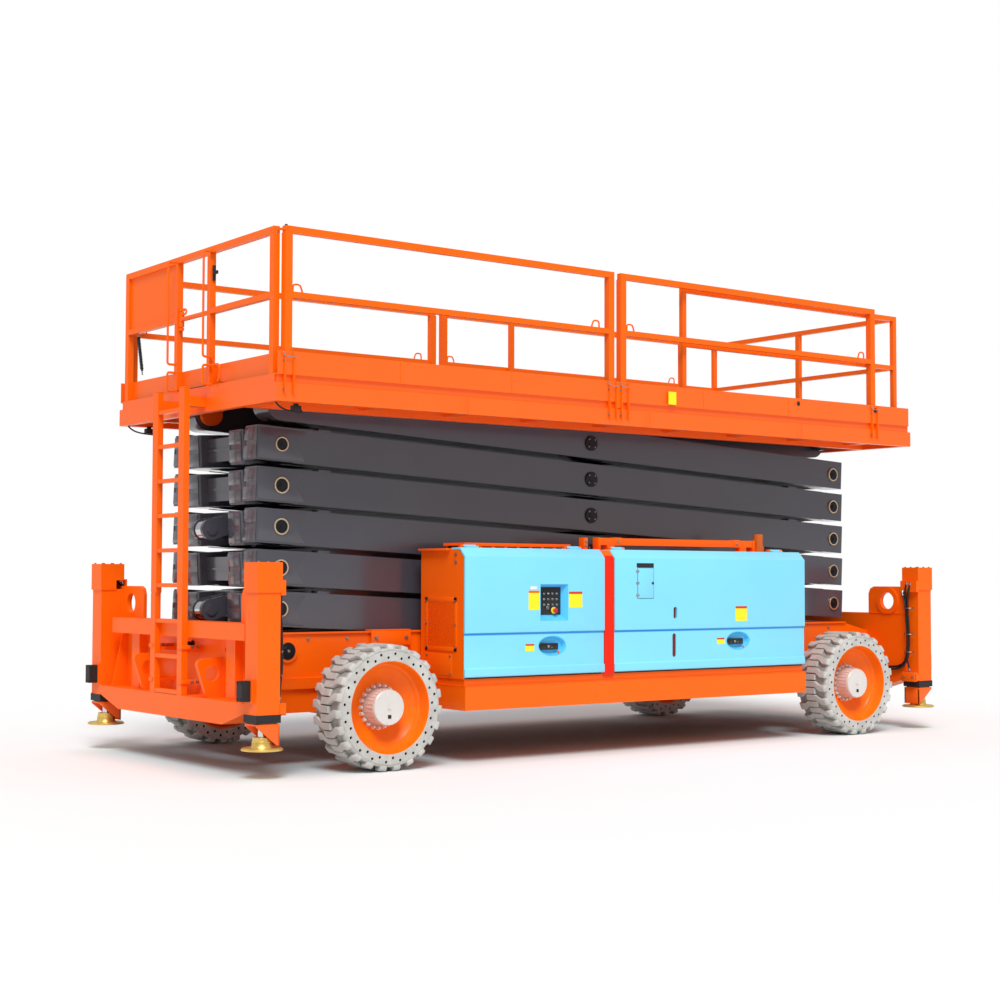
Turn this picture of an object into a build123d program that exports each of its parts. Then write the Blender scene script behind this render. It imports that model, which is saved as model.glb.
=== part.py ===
"""Rough-terrain scissor lift with six arm pairs, outriggers and a sliding deck extension.

Millimetres. +Z up. -X is the ladder end (front), -Y the left side, the origin is on the
ground below the middle of the machine. The stack is drawn lowered, as it parks.
"""
import math
import os

from build123d import *

os.makedirs("parts", exist_ok=True)

# Scissor stack
PAIRS = 6
PIN_X = 3085.0
LEVEL_RISE = 315.5
LEVEL_0_Z = 880.0
BEAM_H = 265.0
INNER_Y0 = 250.0
INNER_Y1 = 470.0
OUTER_Y0 = 490.0
OUTER_Y1 = 713.0
FRONT_OVER = 206.0
REAR_OVER = 146.0
BEAM_CORNER_R = 22.0
PIN_R = 50.0
RUN_CLEAR = 0.05
SEAT_GAP = 0.3
PIN_END = 8.0
CROSS_W = 200.0
CROSS_H = 187.0
RIB_T = 12.0
RIB_H = 14.0

# Lift cylinders
CYL_BASE_AT = 2300.0
CYL_EYE_AT = -265.0
BARREL_R = 95.0
BARREL_WALL = 13.0
BARREL_LEN = 2080.0
HEAD_R = 100.0
HEAD_LEN = 60.0
ROD_R = 50.0
EYE_R = 76.0
EYE_W = 112.0
BASE_PIN_R = 45.0
LUG_T = 34.0
LUG_R = 85.0
LUG_SIDE_GAP = 4.0
BRIDGE_X0 = -60.0
BRIDGE_X1 = 90.0
BRIDGE_Z0 = 72.0
PIN_HEAD_T = 10.0

# Rollers and their tracks
CHASSIS_ROLLER_R = 90.0
CHASSIS_ROLLER_Y0 = 360.0
CHASSIS_ROLLER_Y1 = 460.0
DECK_ROLLER_R = 70.0
DECK_ROLLER_Y0 = 505.0
DECK_ROLLER_Y1 = 600.0
ROLLER_PIN_R = 40.0
TRACK_X0 = -800.0
TRACK_X1 = 3290.0

# Chassis
SIDE_Y = 820.0
SIDE_T = 30.0
SIDE_Z0 = 672.0
SIDE_Z1 = 1007.0
SIDE_X = 3130.0
SIDE_END_Z = 930.0
LEDGE_Z0 = 592.0
LEDGE_Y0 = 750.0
LEDGE_Y1 = 842.0
LOW_BEAM_Z0 = 410.0
LOW_BEAM_Y0 = 740.0
LOW_BEAM_Y1 = 812.0
FLANGE_T = 12.0
FLANGE_Y0 = 765.0
FLANGE_Y1 = 838.0
CROSS_TOP_Z = 700.0
CROSS_MEMBER_Z0 = 450.0
CROSS_MEMBER_W = 110.0
PIN_DISC_R = 87.0
PIN_DISC_T = 16.0
PIN_BRACKET_Y0 = 492.0
PIN_BRACKET_Y1 = 545.0
PIN_BRACKET_R = 100.0

# End frames with the outrigger posts
BACK_X0 = 3456.0
BACK_X1 = 3485.7
POST_X0 = 3486.0
POST_X1 = 3673.0
POST_Y0 = 1257.0
POST_Y1 = 1433.0
POST_Z0 = 460.0
POST_Z1 = 1335.0
POST_WALL = 10.0
CAP_Z0 = 1329.0
CAP_Z1 = 1546.0
CAP_GROW = 10.0
CAP_TAB = 37.0
UPPER_BEAM_X1 = 3622.0
UPPER_BEAM_Y1 = 1150.0
CHEEK_T = 16.0
UPPER_BEAM_Z0 = 978.0
UPPER_BEAM_Z1 = 1102.0
LOWER_BEAM_Z0 = 362.0
LOWER_BEAM_Z1 = 534.0
LOWER_BEAM_FLAT_Y = 905.0
EAR_Y0 = 842.0
EAR_Z1 = 1362.0
EAR_HOLE_Y = 1085.0
EAR_HOLE_Z = 1222.0
EAR_HOLE_R = 82.0
EAR_BOSS_R = 130.0
EAR_BOSS_T = 14.0
EAR_CORNER_R = 70.0
STIFF_Y0 = 752.0
STIFF_Y1 = 892.0
STIFF_X1 = 3560.0
TOW_Y = 550.0
TOW_T = 40.0
TOW_HOLE_X = 3582.0
TOW_HOLE_Z = 712.0
TOW_HOLE_R = 59.0
TOW_TOP_Z = 832.0
TOW_NOSE_X = 3706.0
BUMPER_Y0 = 1288.0
BUMPER_Y1 = 1366.0
BUMPER_X1 = 3758.0
BUMPER_Z0 = 555.0
BUMPER_Z1 = 702.0
BUMPER_PAD_T = 14.0

# Outrigger legs
LEG_CLEAR = 5.0
LEG_WALL = 10.0
LEG_TOP_Z = 1300.0
RING_Z0 = 402.0
RING_GROW = 6.0
SHROUD_TOP_Z = 395.0
SHROUD_Z0 = 240.0
SHROUD_T = 12.0
STUB_R = 30.0
HUB_R = 94.0
HUB_Z1 = 300.0
PAD_R = 160.0
PAD_Z0 = 205.0
PAD_T = 20.0

# Axles, knuckles and wheels
AXLE_X = 2578.0
WHEEL_Z = 472.0
WHEEL_R = 472.0
TYRE_Y0 = 1130.0
TYRE_Y1 = 1490.0
RIM_OPEN_R = 349.0
RIM_WALL = 9.0
RIM_SEAT_R = 372.0
RIM_DISC_Y0 = 1236.0
RIM_DISC_T = 18.0
HUB_FACE_Y = 1424.0
HUB_CASE_R = 135.0
STUD_RING_R = 165.0
STUD_R = 12.0
STUD_LEN = 34.0
STUD_COUNT = 20
SPINDLE_R = 60.0
SPINDLE_Y1 = 1380.0
KINGPIN_Y = 1058.0
KINGPIN_R = 26.0
EAR_R = 62.0
KNUCKLE_HALF_H = 104.0
YOKE_T = 34.0
YOKE_GAP = 5.0
AXLE_W = 190.0
AXLE_H = 190.0
AXLE_Y1 = 900.0
CARRIER_R = 118.0
CARRIER_Y1 = 1228.0
ARM_REACH = 200.0
ARM_T = 26.0
ARM_HALF_W = 34.0
TIE_R = 24.0
TIE_END_R = 32.0
TIE_END_H = 46.0
ARCH_INNER = 330.0
ARCH_OUTER = 190.0
ARCH_TOP_Z = 600.0

# Cabinets
CAB_X0 = -1886.0
CAB_X1 = 1882.0
CAB_Y0 = 860.0
CAB_SKIN = 16.0
TRAY_Y1 = 1471.0
TRAY_Z0 = 416.0
TRAY_Z1 = 600.0
SILL_Y1 = 1440.0
SILL_Z1 = 656.0
ROOF_Z1 = 1668.0
ROOF_OVER = 28.0
DIVIDER_X0 = -474.0
DIVIDER_X1 = -376.0
DOOR_Z0 = 668.0
DOOR_Y1 = 1471.0
DOOR_T = 18.0
DOOR_STEP = 8.0
DOOR_CREASE_Z = 1006.0
DOOR_LIP_Z = 733.0
CHAMFER_Z = 1604.0
CHAMFER_Y = 1396.0
DOOR_TOP_Z = 1674.0
HINGE_Y = 1262.0
HINGE_Z = 1684.0
HINGE_PIN_R = 8.0
HINGE_BARREL_R = 15.0
HINGE_W = 120.0
DOOR_GAP = 5.0
MIDDLE_X0 = -481.0
MIDDLE_X1 = -369.0
DISH_RX = 88.0
DISH_RZ = 62.0
DISH_DEPTH = 42.0
DISH_WALL = 5.0
DISH_Z = 843.0
PANEL_X0 = -905.0
PANEL_X1 = -660.0
PANEL_Z0 = 1085.0
PANEL_Z1 = 1390.0
VENT_X0 = -1700.0
VENT_X1 = -620.0
VENT_Y0 = 900.0
VENT_Y1 = 1190.0
VENT_Z0 = 1694.0
VENT_T = 22.0
BAR_X0 = -300.0
BAR_X1 = 1500.0
BAR_Y0 = 1130.0
BAR_SIZE = 60.0
BAR_Z0 = 1716.0
BEACON_X = 1640.0
BEACON_Y = 1120.0

# Engine
ENGINE_X0 = 250.0
ENGINE_X1 = 1350.0
ENGINE_Y0 = 920.0
ENGINE_Y1 = 1370.0
ENGINE_Z1 = 1340.0

# Platform
DECK_X = 3490.0
DECK_Y = 1352.0
BAND_Z0 = 2716.0
BAND_Z1 = 2853.0
BAND_T = 60.0
DECK_Z0 = 2911.0
DECK_T = 10.0
LONG_Y0 = 742.0
LONG_Y1 = 800.0
STRIP_Y1 = 1336.0
TOE_Z1 = 3083.0
TOE_Y1 = 1355.0
TOE_T = 10.0
TOE_X1 = 3460.0
HANGER_Y0 = 436.0
HANGER_Y1 = 480.0

# Guardrails
RAIL_Z1 = 4005.0
RAIL_T = 50.0
RAIL_POST = 60.0
RAIL_Y1 = 1345.0
MID_Z0 = 3480.0
MID_T = 44.0
RAIL_A_X0 = -3420.0
RAIL_A_X1 = -271.0
RAIL_B_X0 = -199.0
RAIL_B_X1 = 2996.0
FRONT_X = -3480.0
CORNER_Y1 = 1276.0
GATE_Y0 = -224.0
GATE_Y1 = 291.0
GATE_POST = 50.0
GATE_BAR_R = 19.0
GATE_Z = 3500.0

# Deck extension
EXT_X0 = 580.0
EXT_X1 = 3400.0
EXT_Y1 = 1275.0
EXT_GAP = 8.0
EXT_FLOOR_T = 14.0
EXT_RAIL_Z1 = 3980.0
EXT_TUBE = 45.0
EXT_TOE_T = 60.0
EXT_TOE_Y = 1335.0
EXT_MID_POST = 25.0

# Ladders
LADDER_Y = 40.0
LADDER_W = 550.0
LADDER_X = -DECK_X - 180.0
LADDER_D = 48.0
STILE_T = 90.0
RUNG_PITCH = 272.0
RUNG_TOP_Z = 2733.0
LADDER_LOW_RUNG_Z = 552.0
LADDER_SPLIT_Z = 1318.0
LADDER_TOP_Z = 2900.0
RUNG_H = 30.0

STOW = math.degrees(math.atan2(LEVEL_RISE, 2 * PIN_X))
SPAN = math.hypot(LEVEL_RISE, 2 * PIN_X)
HALF_H = BEAM_H / 2
SLIM_TUBE_1 = 0.2914 * SPAN
SLIM_TUBE_2 = 0.607 * SPAN
DEEP_TUBE = 0.9226 * SPAN
SLIM_H = 120.0
MEMBER_IN = 950.0
MEMBER_OUT = 1950.0


def block(x0, x1, y0, y1, z0, z1):
    """A block between two opposite corners."""
    return Pos((x0 + x1) / 2, (y0 + y1) / 2, (z0 + z1) / 2) * Box(x1 - x0, y1 - y0, z1 - z0)


def bar_x(y, z, x0, x1, r):
    """A round bar along X."""
    return Pos((x0 + x1) / 2, y, z) * Rot(0, 90, 0) * Cylinder(r, x1 - x0)


def bar_y(x, z, y0, y1, r):
    """A round bar along Y."""
    return Pos(x, (y0 + y1) / 2, z) * Rot(90, 0, 0) * Cylinder(r, y1 - y0)


def bar_z(x, y, z0, z1, r):
    """A round bar along Z."""
    return Pos(x, y, (z0 + z1) / 2) * Cylinder(r, z1 - z0)


def plate_xz(points, y0, y1):
    """A plate with its outline in X and Z."""
    face = make_face(Polyline(*points, close=True))
    return extrude(Plane((0, y1, 0), x_dir=(1, 0, 0), z_dir=(0, -1, 0)) * face, amount=y1 - y0)


def plate_yz(points, x0, x1):
    """A plate with its outline in Y and Z."""
    face = make_face(Polyline(*points, close=True))
    return extrude(Plane((x0, 0, 0), x_dir=(0, 1, 0), z_dir=(1, 0, 0)) * face, amount=x1 - x0)


def group(*parts):
    """Several solids in one node, each kept as it is."""
    solids = []
    for part in parts:
        solids += part.solids()
    return Compound(solids)


def both_sides(part):
    """The part and its copy on the other side of the machine."""
    return group(part, mirror(part, about=Plane.XZ))


def both_ends(part):
    """The part and its copy at the other end of the machine."""
    return group(part, mirror(part, about=Plane.YZ))


def across(part):
    """A half that starts at the middle plane, joined to its mirror image."""
    return part + mirror(part, about=Plane.XZ)


def level_z(level):
    """Height of the pins of one level of the lowered stack."""
    return LEVEL_0_Z + LEVEL_RISE * level


def beam(y0, y1, round_front, round_rear):
    """One arm beam, lying along X with its front pin at the origin."""
    x0 = 0.0 if round_front else -FRONT_OVER
    x1 = SPAN if round_rear else SPAN + REAR_OVER
    part = block(x0, x1, y0, y1, -HALF_H, HALF_H)
    upright = part.edges().filter_by(Axis.Z)
    if not round_front:
        part = fillet(upright.group_by(Axis.X)[0], BEAM_CORNER_R)
    if not round_rear:
        part = fillet(part.edges().filter_by(Axis.Z).group_by(Axis.X)[-1], BEAM_CORNER_R)
    if round_front:
        part += bar_y(0, 0, y0, y1, HALF_H)
    if round_rear:
        part += bar_y(SPAN, 0, y0, y1, HALF_H)
    return part


def cross_tube(x, w, z0, z1):
    """A box tube between the two inner beams."""
    y = INNER_Y0 - SEAT_GAP
    return block(x - w / 2, x + w / 2, -y, y, z0, z1)


def ridged_tube(x):
    """The front cross member of an inner frame, with a stiffening rib on its front."""
    y = INNER_Y0 - SEAT_GAP
    part = cross_tube(x, CROSS_W, -CROSS_H / 2, CROSS_H / 2)
    return part + block(x - CROSS_W / 2 - RIB_T, x, -y, y, -RIB_H / 2, RIB_H / 2)


def lug():
    """One cylinder lug at the front of an inner frame, hung from its tube."""
    y0 = EYE_W / 2 + LUG_SIDE_GAP
    top = BRIDGE_Z0 - SEAT_GAP
    outline = [
        (CYL_EYE_AT - LUG_R * 0.45, LUG_R * 0.85), (CYL_EYE_AT + LUG_R * 0.4, top + 20),
        (BRIDGE_X0 - 12, top + 42), (BRIDGE_X0 - 4, top), (BRIDGE_X1 + 15, top), (BRIDGE_X1 + 15, top - 50),
        (CYL_EYE_AT + LUG_R * 0.2, -LUG_R * 0.97),
    ]
    part = plate_xz(outline, y0, y0 + LUG_T)
    part += bar_y(CYL_EYE_AT, 0, y0, y0 + LUG_T, LUG_R)
    return part + bar_y(CYL_EYE_AT, 0, y0 + LUG_T - 1, y0 + LUG_T + PIN_HEAD_T, BASE_PIN_R)


def inner_frame(k):
    """Inner arm frame k: front pin at level k-1, rear pin at level k."""
    first = k == 1
    last = k == PAIRS
    side = beam(INNER_Y0, INNER_Y1, first, last)
    bore = PIN_R + RUN_CLEAR
    side -= bar_y(0, 0, INNER_Y0 - 1, INNER_Y1 + 1, bore)
    side -= bar_y(SPAN / 2, 0, INNER_Y0 - 1, INNER_Y1 + 1, bore)
    side -= bar_y(SPAN, 0, INNER_Y0 - 1, INNER_Y1 + 1, ROLLER_PIN_R + SEAT_GAP if last else bore)
    solids = []
    carries_eye = k in (2, 4)
    carries_base = k in (1, 3)
    if carries_eye:
        solids.append(cross_tube((BRIDGE_X0 + BRIDGE_X1) / 2, BRIDGE_X1 - BRIDGE_X0, BRIDGE_Z0, HALF_H))
        solids.append(both_sides(lug()))
    elif first:
        solids.append(cross_tube(250, 140, -CROSS_H / 2, CROSS_H / 2))
    else:
        solids.append(ridged_tube(-30))
    if carries_base:
        side -= bar_y(CYL_BASE_AT, 0, INNER_Y0 - 1, INNER_Y1 + 1, BASE_PIN_R + SEAT_GAP)
        solids.append(bar_y(CYL_BASE_AT, 0, -INNER_Y1 - 8, INNER_Y1 + 8, BASE_PIN_R))
    else:
        solids.append(cross_tube(SLIM_TUBE_1, CROSS_W, -SLIM_H / 2, SLIM_H / 2))
    solids.append(cross_tube(SLIM_TUBE_2, CROSS_W, -SLIM_H / 2, SLIM_H / 2))
    solids.append(cross_tube(DEEP_TUBE, CROSS_W, -CROSS_H / 2, CROSS_H / 2))
    if last:
        solids.append(bar_y(SPAN, 0, -DECK_ROLLER_Y1 - 6, DECK_ROLLER_Y1 + 6, ROLLER_PIN_R))
        roller = bar_y(SPAN, 0, DECK_ROLLER_Y0, DECK_ROLLER_Y1, DECK_ROLLER_R)
        roller -= bar_y(SPAN, 0, DECK_ROLLER_Y0 - 1, DECK_ROLLER_Y1 + 1, ROLLER_PIN_R + SEAT_GAP)
        solids.append(both_sides(roller))
    frame = group(both_sides(side), *solids)
    return Pos(-PIN_X, 0, level_z(k - 1)) * Rot(0, -STOW, 0) * frame


def outer_frame(k):
    """Outer arm frame k: front pin at level k, rear pin at level k-1."""
    first = k == 1
    last = k == PAIRS
    side = beam(OUTER_Y0, OUTER_Y1, last, first)
    hole = PIN_R + SEAT_GAP
    side -= bar_y(0, 0, OUTER_Y0 - 1, OUTER_Y1 + 1, PIN_R + RUN_CLEAR if last else hole)
    side -= bar_y(SPAN / 2, 0, OUTER_Y0 - 1, OUTER_Y1 + 1, hole)
    side -= bar_y(SPAN, 0, OUTER_Y0 - 1, OUTER_Y1 + 1, hole)
    end = OUTER_Y1 + PIN_END
    solids = [both_sides(side)]
    if not last:
        solids.append(both_sides(bar_y(0, 0, INNER_Y0 + 2, end, PIN_R)))
    solids.append(bar_y(SPAN / 2, 0, -end, end, PIN_R))
    solids.append(bar_y(SPAN, 0, -end, end, PIN_R))
    if first:
        roller = bar_y(SPAN, 0, CHASSIS_ROLLER_Y0, CHASSIS_ROLLER_Y1, CHASSIS_ROLLER_R)
        roller -= bar_y(SPAN, 0, CHASSIS_ROLLER_Y0 - 1, CHASSIS_ROLLER_Y1 + 1, hole)
        solids.append(both_sides(roller))
    return Pos(-PIN_X, 0, level_z(k)) * Rot(0, STOW, 0) * group(*solids)


def cylinder_place(k):
    """Where the cylinder on inner frame k starts, its length and its slope when lowered."""
    a = math.radians(STOW)
    reach = CYL_BASE_AT - CYL_EYE_AT
    bx = -PIN_X + CYL_BASE_AT * math.cos(a)
    bz = level_z(k - 1) + CYL_BASE_AT * math.sin(a)
    dx = -reach * math.cos(a)
    dz = (SPAN - reach) * math.sin(a)
    return bx, bz, math.hypot(dx, dz), math.degrees(math.atan2(dz, dx))


def barrel(k):
    """Cylinder barrel with its base eye and head."""
    bx, bz, _, slope = cylinder_place(k)
    part = bar_x(0, 0, EYE_R * 0.8, BARREL_LEN, BARREL_R)
    part -= bar_x(0, 0, EYE_R + 50, BARREL_LEN + 1, BARREL_R - BARREL_WALL)
    part += bar_y(0, 0, -EYE_W / 2, EYE_W / 2, EYE_R)
    part -= bar_y(0, 0, -BARREL_R - 1, BARREL_R + 1, BASE_PIN_R + RUN_CLEAR)
    head = bar_x(0, 0, BARREL_LEN, BARREL_LEN + HEAD_LEN, HEAD_R)
    head -= bar_x(0, 0, BARREL_LEN - 1, BARREL_LEN + HEAD_LEN + 1, ROD_R + RUN_CLEAR)
    return Pos(bx, 0, bz) * Rot(0, -slope, 0) * (part + head)


def rod(k):
    """Cylinder rod with its piston and the eye between the lugs."""
    bx, bz, length, slope = cylinder_place(k)
    part = bar_x(0, 0, EYE_R + 160, length, ROD_R)
    part += bar_x(0, 0, EYE_R + 100, EYE_R + 220, BARREL_R - BARREL_WALL - RUN_CLEAR)
    part += bar_y(length, 0, -EYE_W / 2, EYE_W / 2, EYE_R)
    return Pos(bx, 0, bz) * Rot(0, -slope, 0) * part


def chassis_frame():
    """Side beams, cross members, roller tracks and the front pins."""
    g = SEAT_GAP
    x_end = BACK_X0 - g
    plate = [
        (-x_end, SIDE_Z0 + g), (x_end, SIDE_Z0 + g), (x_end, SIDE_END_Z), (SIDE_X, SIDE_Z1),
        (-SIDE_X, SIDE_Z1), (-x_end, SIDE_END_Z),
    ]
    web = plate_xz(plate, SIDE_Y - SIDE_T, SIDE_Y)
    web -= bar_y(-PIN_X, LEVEL_0_Z, SIDE_Y - SIDE_T - 1, SIDE_Y + 1, PIN_R + g)
    flange = block(-SIDE_X, SIDE_X, FLANGE_Y0, FLANGE_Y1, SIDE_Z1 + g, SIDE_Z1 + FLANGE_T)
    ledge = block(-x_end, x_end, LEDGE_Y0, LEDGE_Y1, LEDGE_Z0, SIDE_Z0)
    inner_end = AXLE_X - ARCH_INNER
    low = [block(-inner_end, inner_end, LOW_BEAM_Y0, LOW_BEAM_Y1, LOW_BEAM_Z0, LEDGE_Z0 - g)]
    for s in (-1, 1):
        x0, x1 = sorted((s * (AXLE_X + ARCH_OUTER), s * x_end))
        low.append(block(x0, x1, LOW_BEAM_Y0, LOW_BEAM_Y1, LOW_BEAM_Z0, LEDGE_Z0 - g))
    pin = bar_y(-PIN_X, LEVEL_0_Z, INNER_Y0 + 2, SIDE_Y + PIN_DISC_T, PIN_R)
    pin += bar_y(-PIN_X, LEVEL_0_Z, SIDE_Y + g, SIDE_Y + PIN_DISC_T, PIN_DISC_R)
    bracket = bar_y(-PIN_X, LEVEL_0_Z, PIN_BRACKET_Y0, PIN_BRACKET_Y1, PIN_BRACKET_R)
    bracket += block(-PIN_X - PIN_BRACKET_R * 1.3, -PIN_X + PIN_BRACKET_R * 1.3, PIN_BRACKET_Y0,
                     PIN_BRACKET_Y1, CROSS_TOP_Z + g, LEVEL_0_Z - PIN_BRACKET_R * 0.4)
    bracket -= bar_y(-PIN_X, LEVEL_0_Z, PIN_BRACKET_Y0 - 1, PIN_BRACKET_Y1 + 1, PIN_R + g)
    track = block(TRACK_X0, TRACK_X1, CHASSIS_ROLLER_Y0 - 10, CHASSIS_ROLLER_Y1 + 10,
                  CROSS_TOP_Z + g, LEVEL_0_Z - CHASSIS_ROLLER_R - g)
    sides = [web, flange, ledge, pin, bracket, track] + low
    for x in (-1500.0, -500.0, 500.0, 1500.0):
        sides.append(block(x - 40, x + 40, LOW_BEAM_Y1 + g, CAB_Y0 - g, TRAY_Z0 + 60, LEDGE_Z0 - 20))
    middle = []
    for x in (PIN_X, MEMBER_OUT, MEMBER_IN, 0.0, -MEMBER_IN, -MEMBER_OUT, -PIN_X):
        middle.append(block(x - CROSS_MEMBER_W / 2, x + CROSS_MEMBER_W / 2, -LOW_BEAM_Y0 + g,
                            LOW_BEAM_Y0 - g, CROSS_MEMBER_Z0, CROSS_TOP_Z))
    for x in (AXLE_X, -AXLE_X):
        middle.append(block(x - AXLE_W, x + AXLE_W, -LEDGE_Y0 + g, LEDGE_Y0 - g, ARCH_TOP_Z, CROSS_TOP_Z))
        middle.append(block(x - AXLE_W / 2, x + AXLE_W / 2, -300, 300, WHEEL_Z + AXLE_H / 2 + g,
                            ARCH_TOP_Z - g))
    return group(both_sides(group(*sides)), *middle)


def outrigger_post():
    """One hollow outrigger post with its cap, at the rear right corner."""
    post = block(POST_X0, POST_X1, POST_Y0, POST_Y1, POST_Z0, POST_Z1)
    post -= block(POST_X0 + POST_WALL, POST_X1 - POST_WALL, POST_Y0 + POST_WALL,
                  POST_Y1 - POST_WALL, POST_Z0 - 1, POST_Z1 + 1)
    cap = block(POST_X0 - CAP_GROW, POST_X1 + CAP_GROW, POST_Y0 - CAP_GROW, POST_Y1 + CAP_GROW,
                CAP_Z0, CAP_Z1)
    cap += block(POST_X0 - CAP_TAB, POST_X0, POST_Y0 - CAP_GROW, POST_Y1 + CAP_GROW, CAP_Z0 - 19, CAP_Z0 + 90)
    cap -= block(POST_X0 + POST_WALL, POST_X1 - POST_WALL, POST_Y0 + POST_WALL,
                 POST_Y1 - POST_WALL, CAP_Z0 - 30, CAP_Z1 - POST_WALL)
    cap -= block(POST_X0 - CAP_TAB + POST_WALL, POST_X0 + 60, POST_Y0 - CAP_GROW - 1, POST_Y1 - POST_WALL,
                 CAP_Z0 - 10, CAP_Z0 + 80)
    return post + cap


def tow_lug():
    """A towing lug that stands on the lower beam, at the rear right."""
    outline = [
        (BACK_X1 + SEAT_GAP, LOWER_BEAM_Z1 + SEAT_GAP), (POST_X1 - 50, LOWER_BEAM_Z1 + SEAT_GAP),
        (TOW_NOSE_X, TOW_TOP_Z - 50), (TOW_NOSE_X - 12, TOW_TOP_Z - 20), (TOW_NOSE_X - 45, TOW_TOP_Z - 5),
        (BACK_X1 + SEAT_GAP, TOW_TOP_Z),
    ]
    lug = plate_xz(outline, TOW_Y - TOW_T / 2, TOW_Y + TOW_T / 2)
    return lug - bar_y(TOW_HOLE_X, TOW_HOLE_Z, TOW_Y - TOW_T, TOW_Y + TOW_T, TOW_HOLE_R)


def lifting_ear():
    """The right rear lifting ear with its boss."""
    ear = [
        (EAR_Y0, UPPER_BEAM_Z1 + SEAT_GAP), (POST_Y0 + 40, UPPER_BEAM_Z1 + SEAT_GAP),
        (POST_Y0 + 40, EAR_Z1), (EAR_Y0 + EAR_CORNER_R, EAR_Z1), (EAR_Y0 + EAR_CORNER_R * 0.3,
                                                                  EAR_Z1 - EAR_CORNER_R * 0.3),
        (EAR_Y0, EAR_Z1 - EAR_CORNER_R),
    ]
    part = plate_yz(ear, BACK_X0, BACK_X1)
    part += bar_x(EAR_HOLE_Y, EAR_HOLE_Z, BACK_X0 - EAR_BOSS_T, BACK_X0, EAR_BOSS_R)
    part -= block(BACK_X0 - EAR_BOSS_T - 1, BACK_X0 + 1, 0, POST_Y1, 0, UPPER_BEAM_Z1 + SEAT_GAP)
    return part - bar_x(EAR_HOLE_Y, EAR_HOLE_Z, BACK_X0 - EAR_BOSS_T - 1, BACK_X1 + 1, EAR_HOLE_R)


def end_frame():
    """The rear end frame: back plate, beams, lifting ears, lugs and both posts."""
    g = SEAT_GAP
    half = [
        (0, LOWER_BEAM_Z0), (LOWER_BEAM_FLAT_Y, LOWER_BEAM_Z0), (POST_Y0 - 8, POST_Z0),
        (POST_Y0 + 40, POST_Z0), (POST_Y0 + 40, UPPER_BEAM_Z1), (0, UPPER_BEAM_Z1),
    ]
    back = across(plate_yz(half, BACK_X0, BACK_X1))
    x0 = BACK_X1 + g
    low_half = [
        (0, LOWER_BEAM_Z0), (LOWER_BEAM_FLAT_Y, LOWER_BEAM_Z0), (POST_Y0 - 8, POST_Z0),
        (POST_Y0 - g, POST_Z0), (POST_Y0 - g, LOWER_BEAM_Z1), (0, LOWER_BEAM_Z1),
    ]
    low = across(plate_yz(low_half, x0, POST_X1))
    high = block(x0, UPPER_BEAM_X1, -UPPER_BEAM_Y1, UPPER_BEAM_Y1, UPPER_BEAM_Z0, UPPER_BEAM_Z1)
    stiff = block(x0, STIFF_X1, STIFF_Y0, STIFF_Y1, LOWER_BEAM_Z1 + g, UPPER_BEAM_Z0 - g)
    cheek = plate_xz([(x0, LOWER_BEAM_Z1 + g), (STIFF_X1 + 60, LOWER_BEAM_Z1 + g),
                      (STIFF_X1 - 30, UPPER_BEAM_Z0 - g), (x0, UPPER_BEAM_Z0 - g)],
                     UPPER_BEAM_Y1 - CHEEK_T, UPPER_BEAM_Y1)
    pad = block(POST_X1 + g, POST_X1 + BUMPER_PAD_T, BUMPER_Y0 - 20, BUMPER_Y1 + 20,
                BUMPER_Z0 - 12, BUMPER_Z1 + 12)
    side = group(lifting_ear(), stiff, cheek, tow_lug(), outrigger_post(), pad)
    return group(back, low, high, both_sides(side))


def leg_size():
    """Outline of the sliding leg tube inside its post."""
    grow = POST_WALL + LEG_CLEAR
    return POST_X0 + grow, POST_X1 - grow, POST_Y0 + grow, POST_Y1 - grow


def outrigger_leg():
    """The sliding leg of the rear right post, with its shroud, stub and swivel pad."""
    x0, x1, y0, y1 = leg_size()
    leg = block(x0, x1, y0, y1, SHROUD_TOP_Z - SHROUD_T, LEG_TOP_Z)
    leg -= block(x0 + LEG_WALL, x1 - LEG_WALL, y0 + LEG_WALL, y1 - LEG_WALL,
                 SHROUD_TOP_Z, LEG_TOP_Z + 1)
    shroud = plate_xz([(POST_X0, SHROUD_Z0), (POST_X0 + 20, SHROUD_Z0),
                       (POST_X1, SHROUD_TOP_Z - SHROUD_T - 6), (POST_X1, SHROUD_TOP_Z),
                       (POST_X0, SHROUD_TOP_Z)], POST_Y0, POST_Y1)
    shroud -= block(POST_X0 + SHROUD_T, POST_X1 + 1, POST_Y0 + SHROUD_T, POST_Y1 - SHROUD_T,
                    SHROUD_Z0 - 1, SHROUD_TOP_Z - SHROUD_T)
    cx = (POST_X0 + POST_X1) / 2
    cy = (POST_Y0 + POST_Y1) / 2
    pad = bar_z(cx, cy, PAD_Z0, PAD_Z0 + PAD_T, PAD_R)
    leg += shroud
    pad += bar_z(cx, cy, PAD_Z0, HUB_Z1, HUB_R)
    pad -= block(POST_X0 - 3, POST_X0 + SHROUD_T + 3, POST_Y0 - 3, POST_Y1 + 3, PAD_Z0 + PAD_T, HUB_Z1 + 1)
    pad -= block(POST_X0 - 3, POST_X1 + 3, POST_Y0 - 3, POST_Y0 + SHROUD_T + 3, PAD_Z0 + PAD_T, HUB_Z1 + 1)
    pad -= block(POST_X0 - 3, POST_X1 + 3, POST_Y1 - SHROUD_T - 3, POST_Y1 + 3, PAD_Z0 + PAD_T, HUB_Z1 + 1)
    leg += pad
    leg += bar_z(cx, cy, HUB_Z1 - 5, SHROUD_TOP_Z - SHROUD_T + 1, STUB_R)
    return leg


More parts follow.
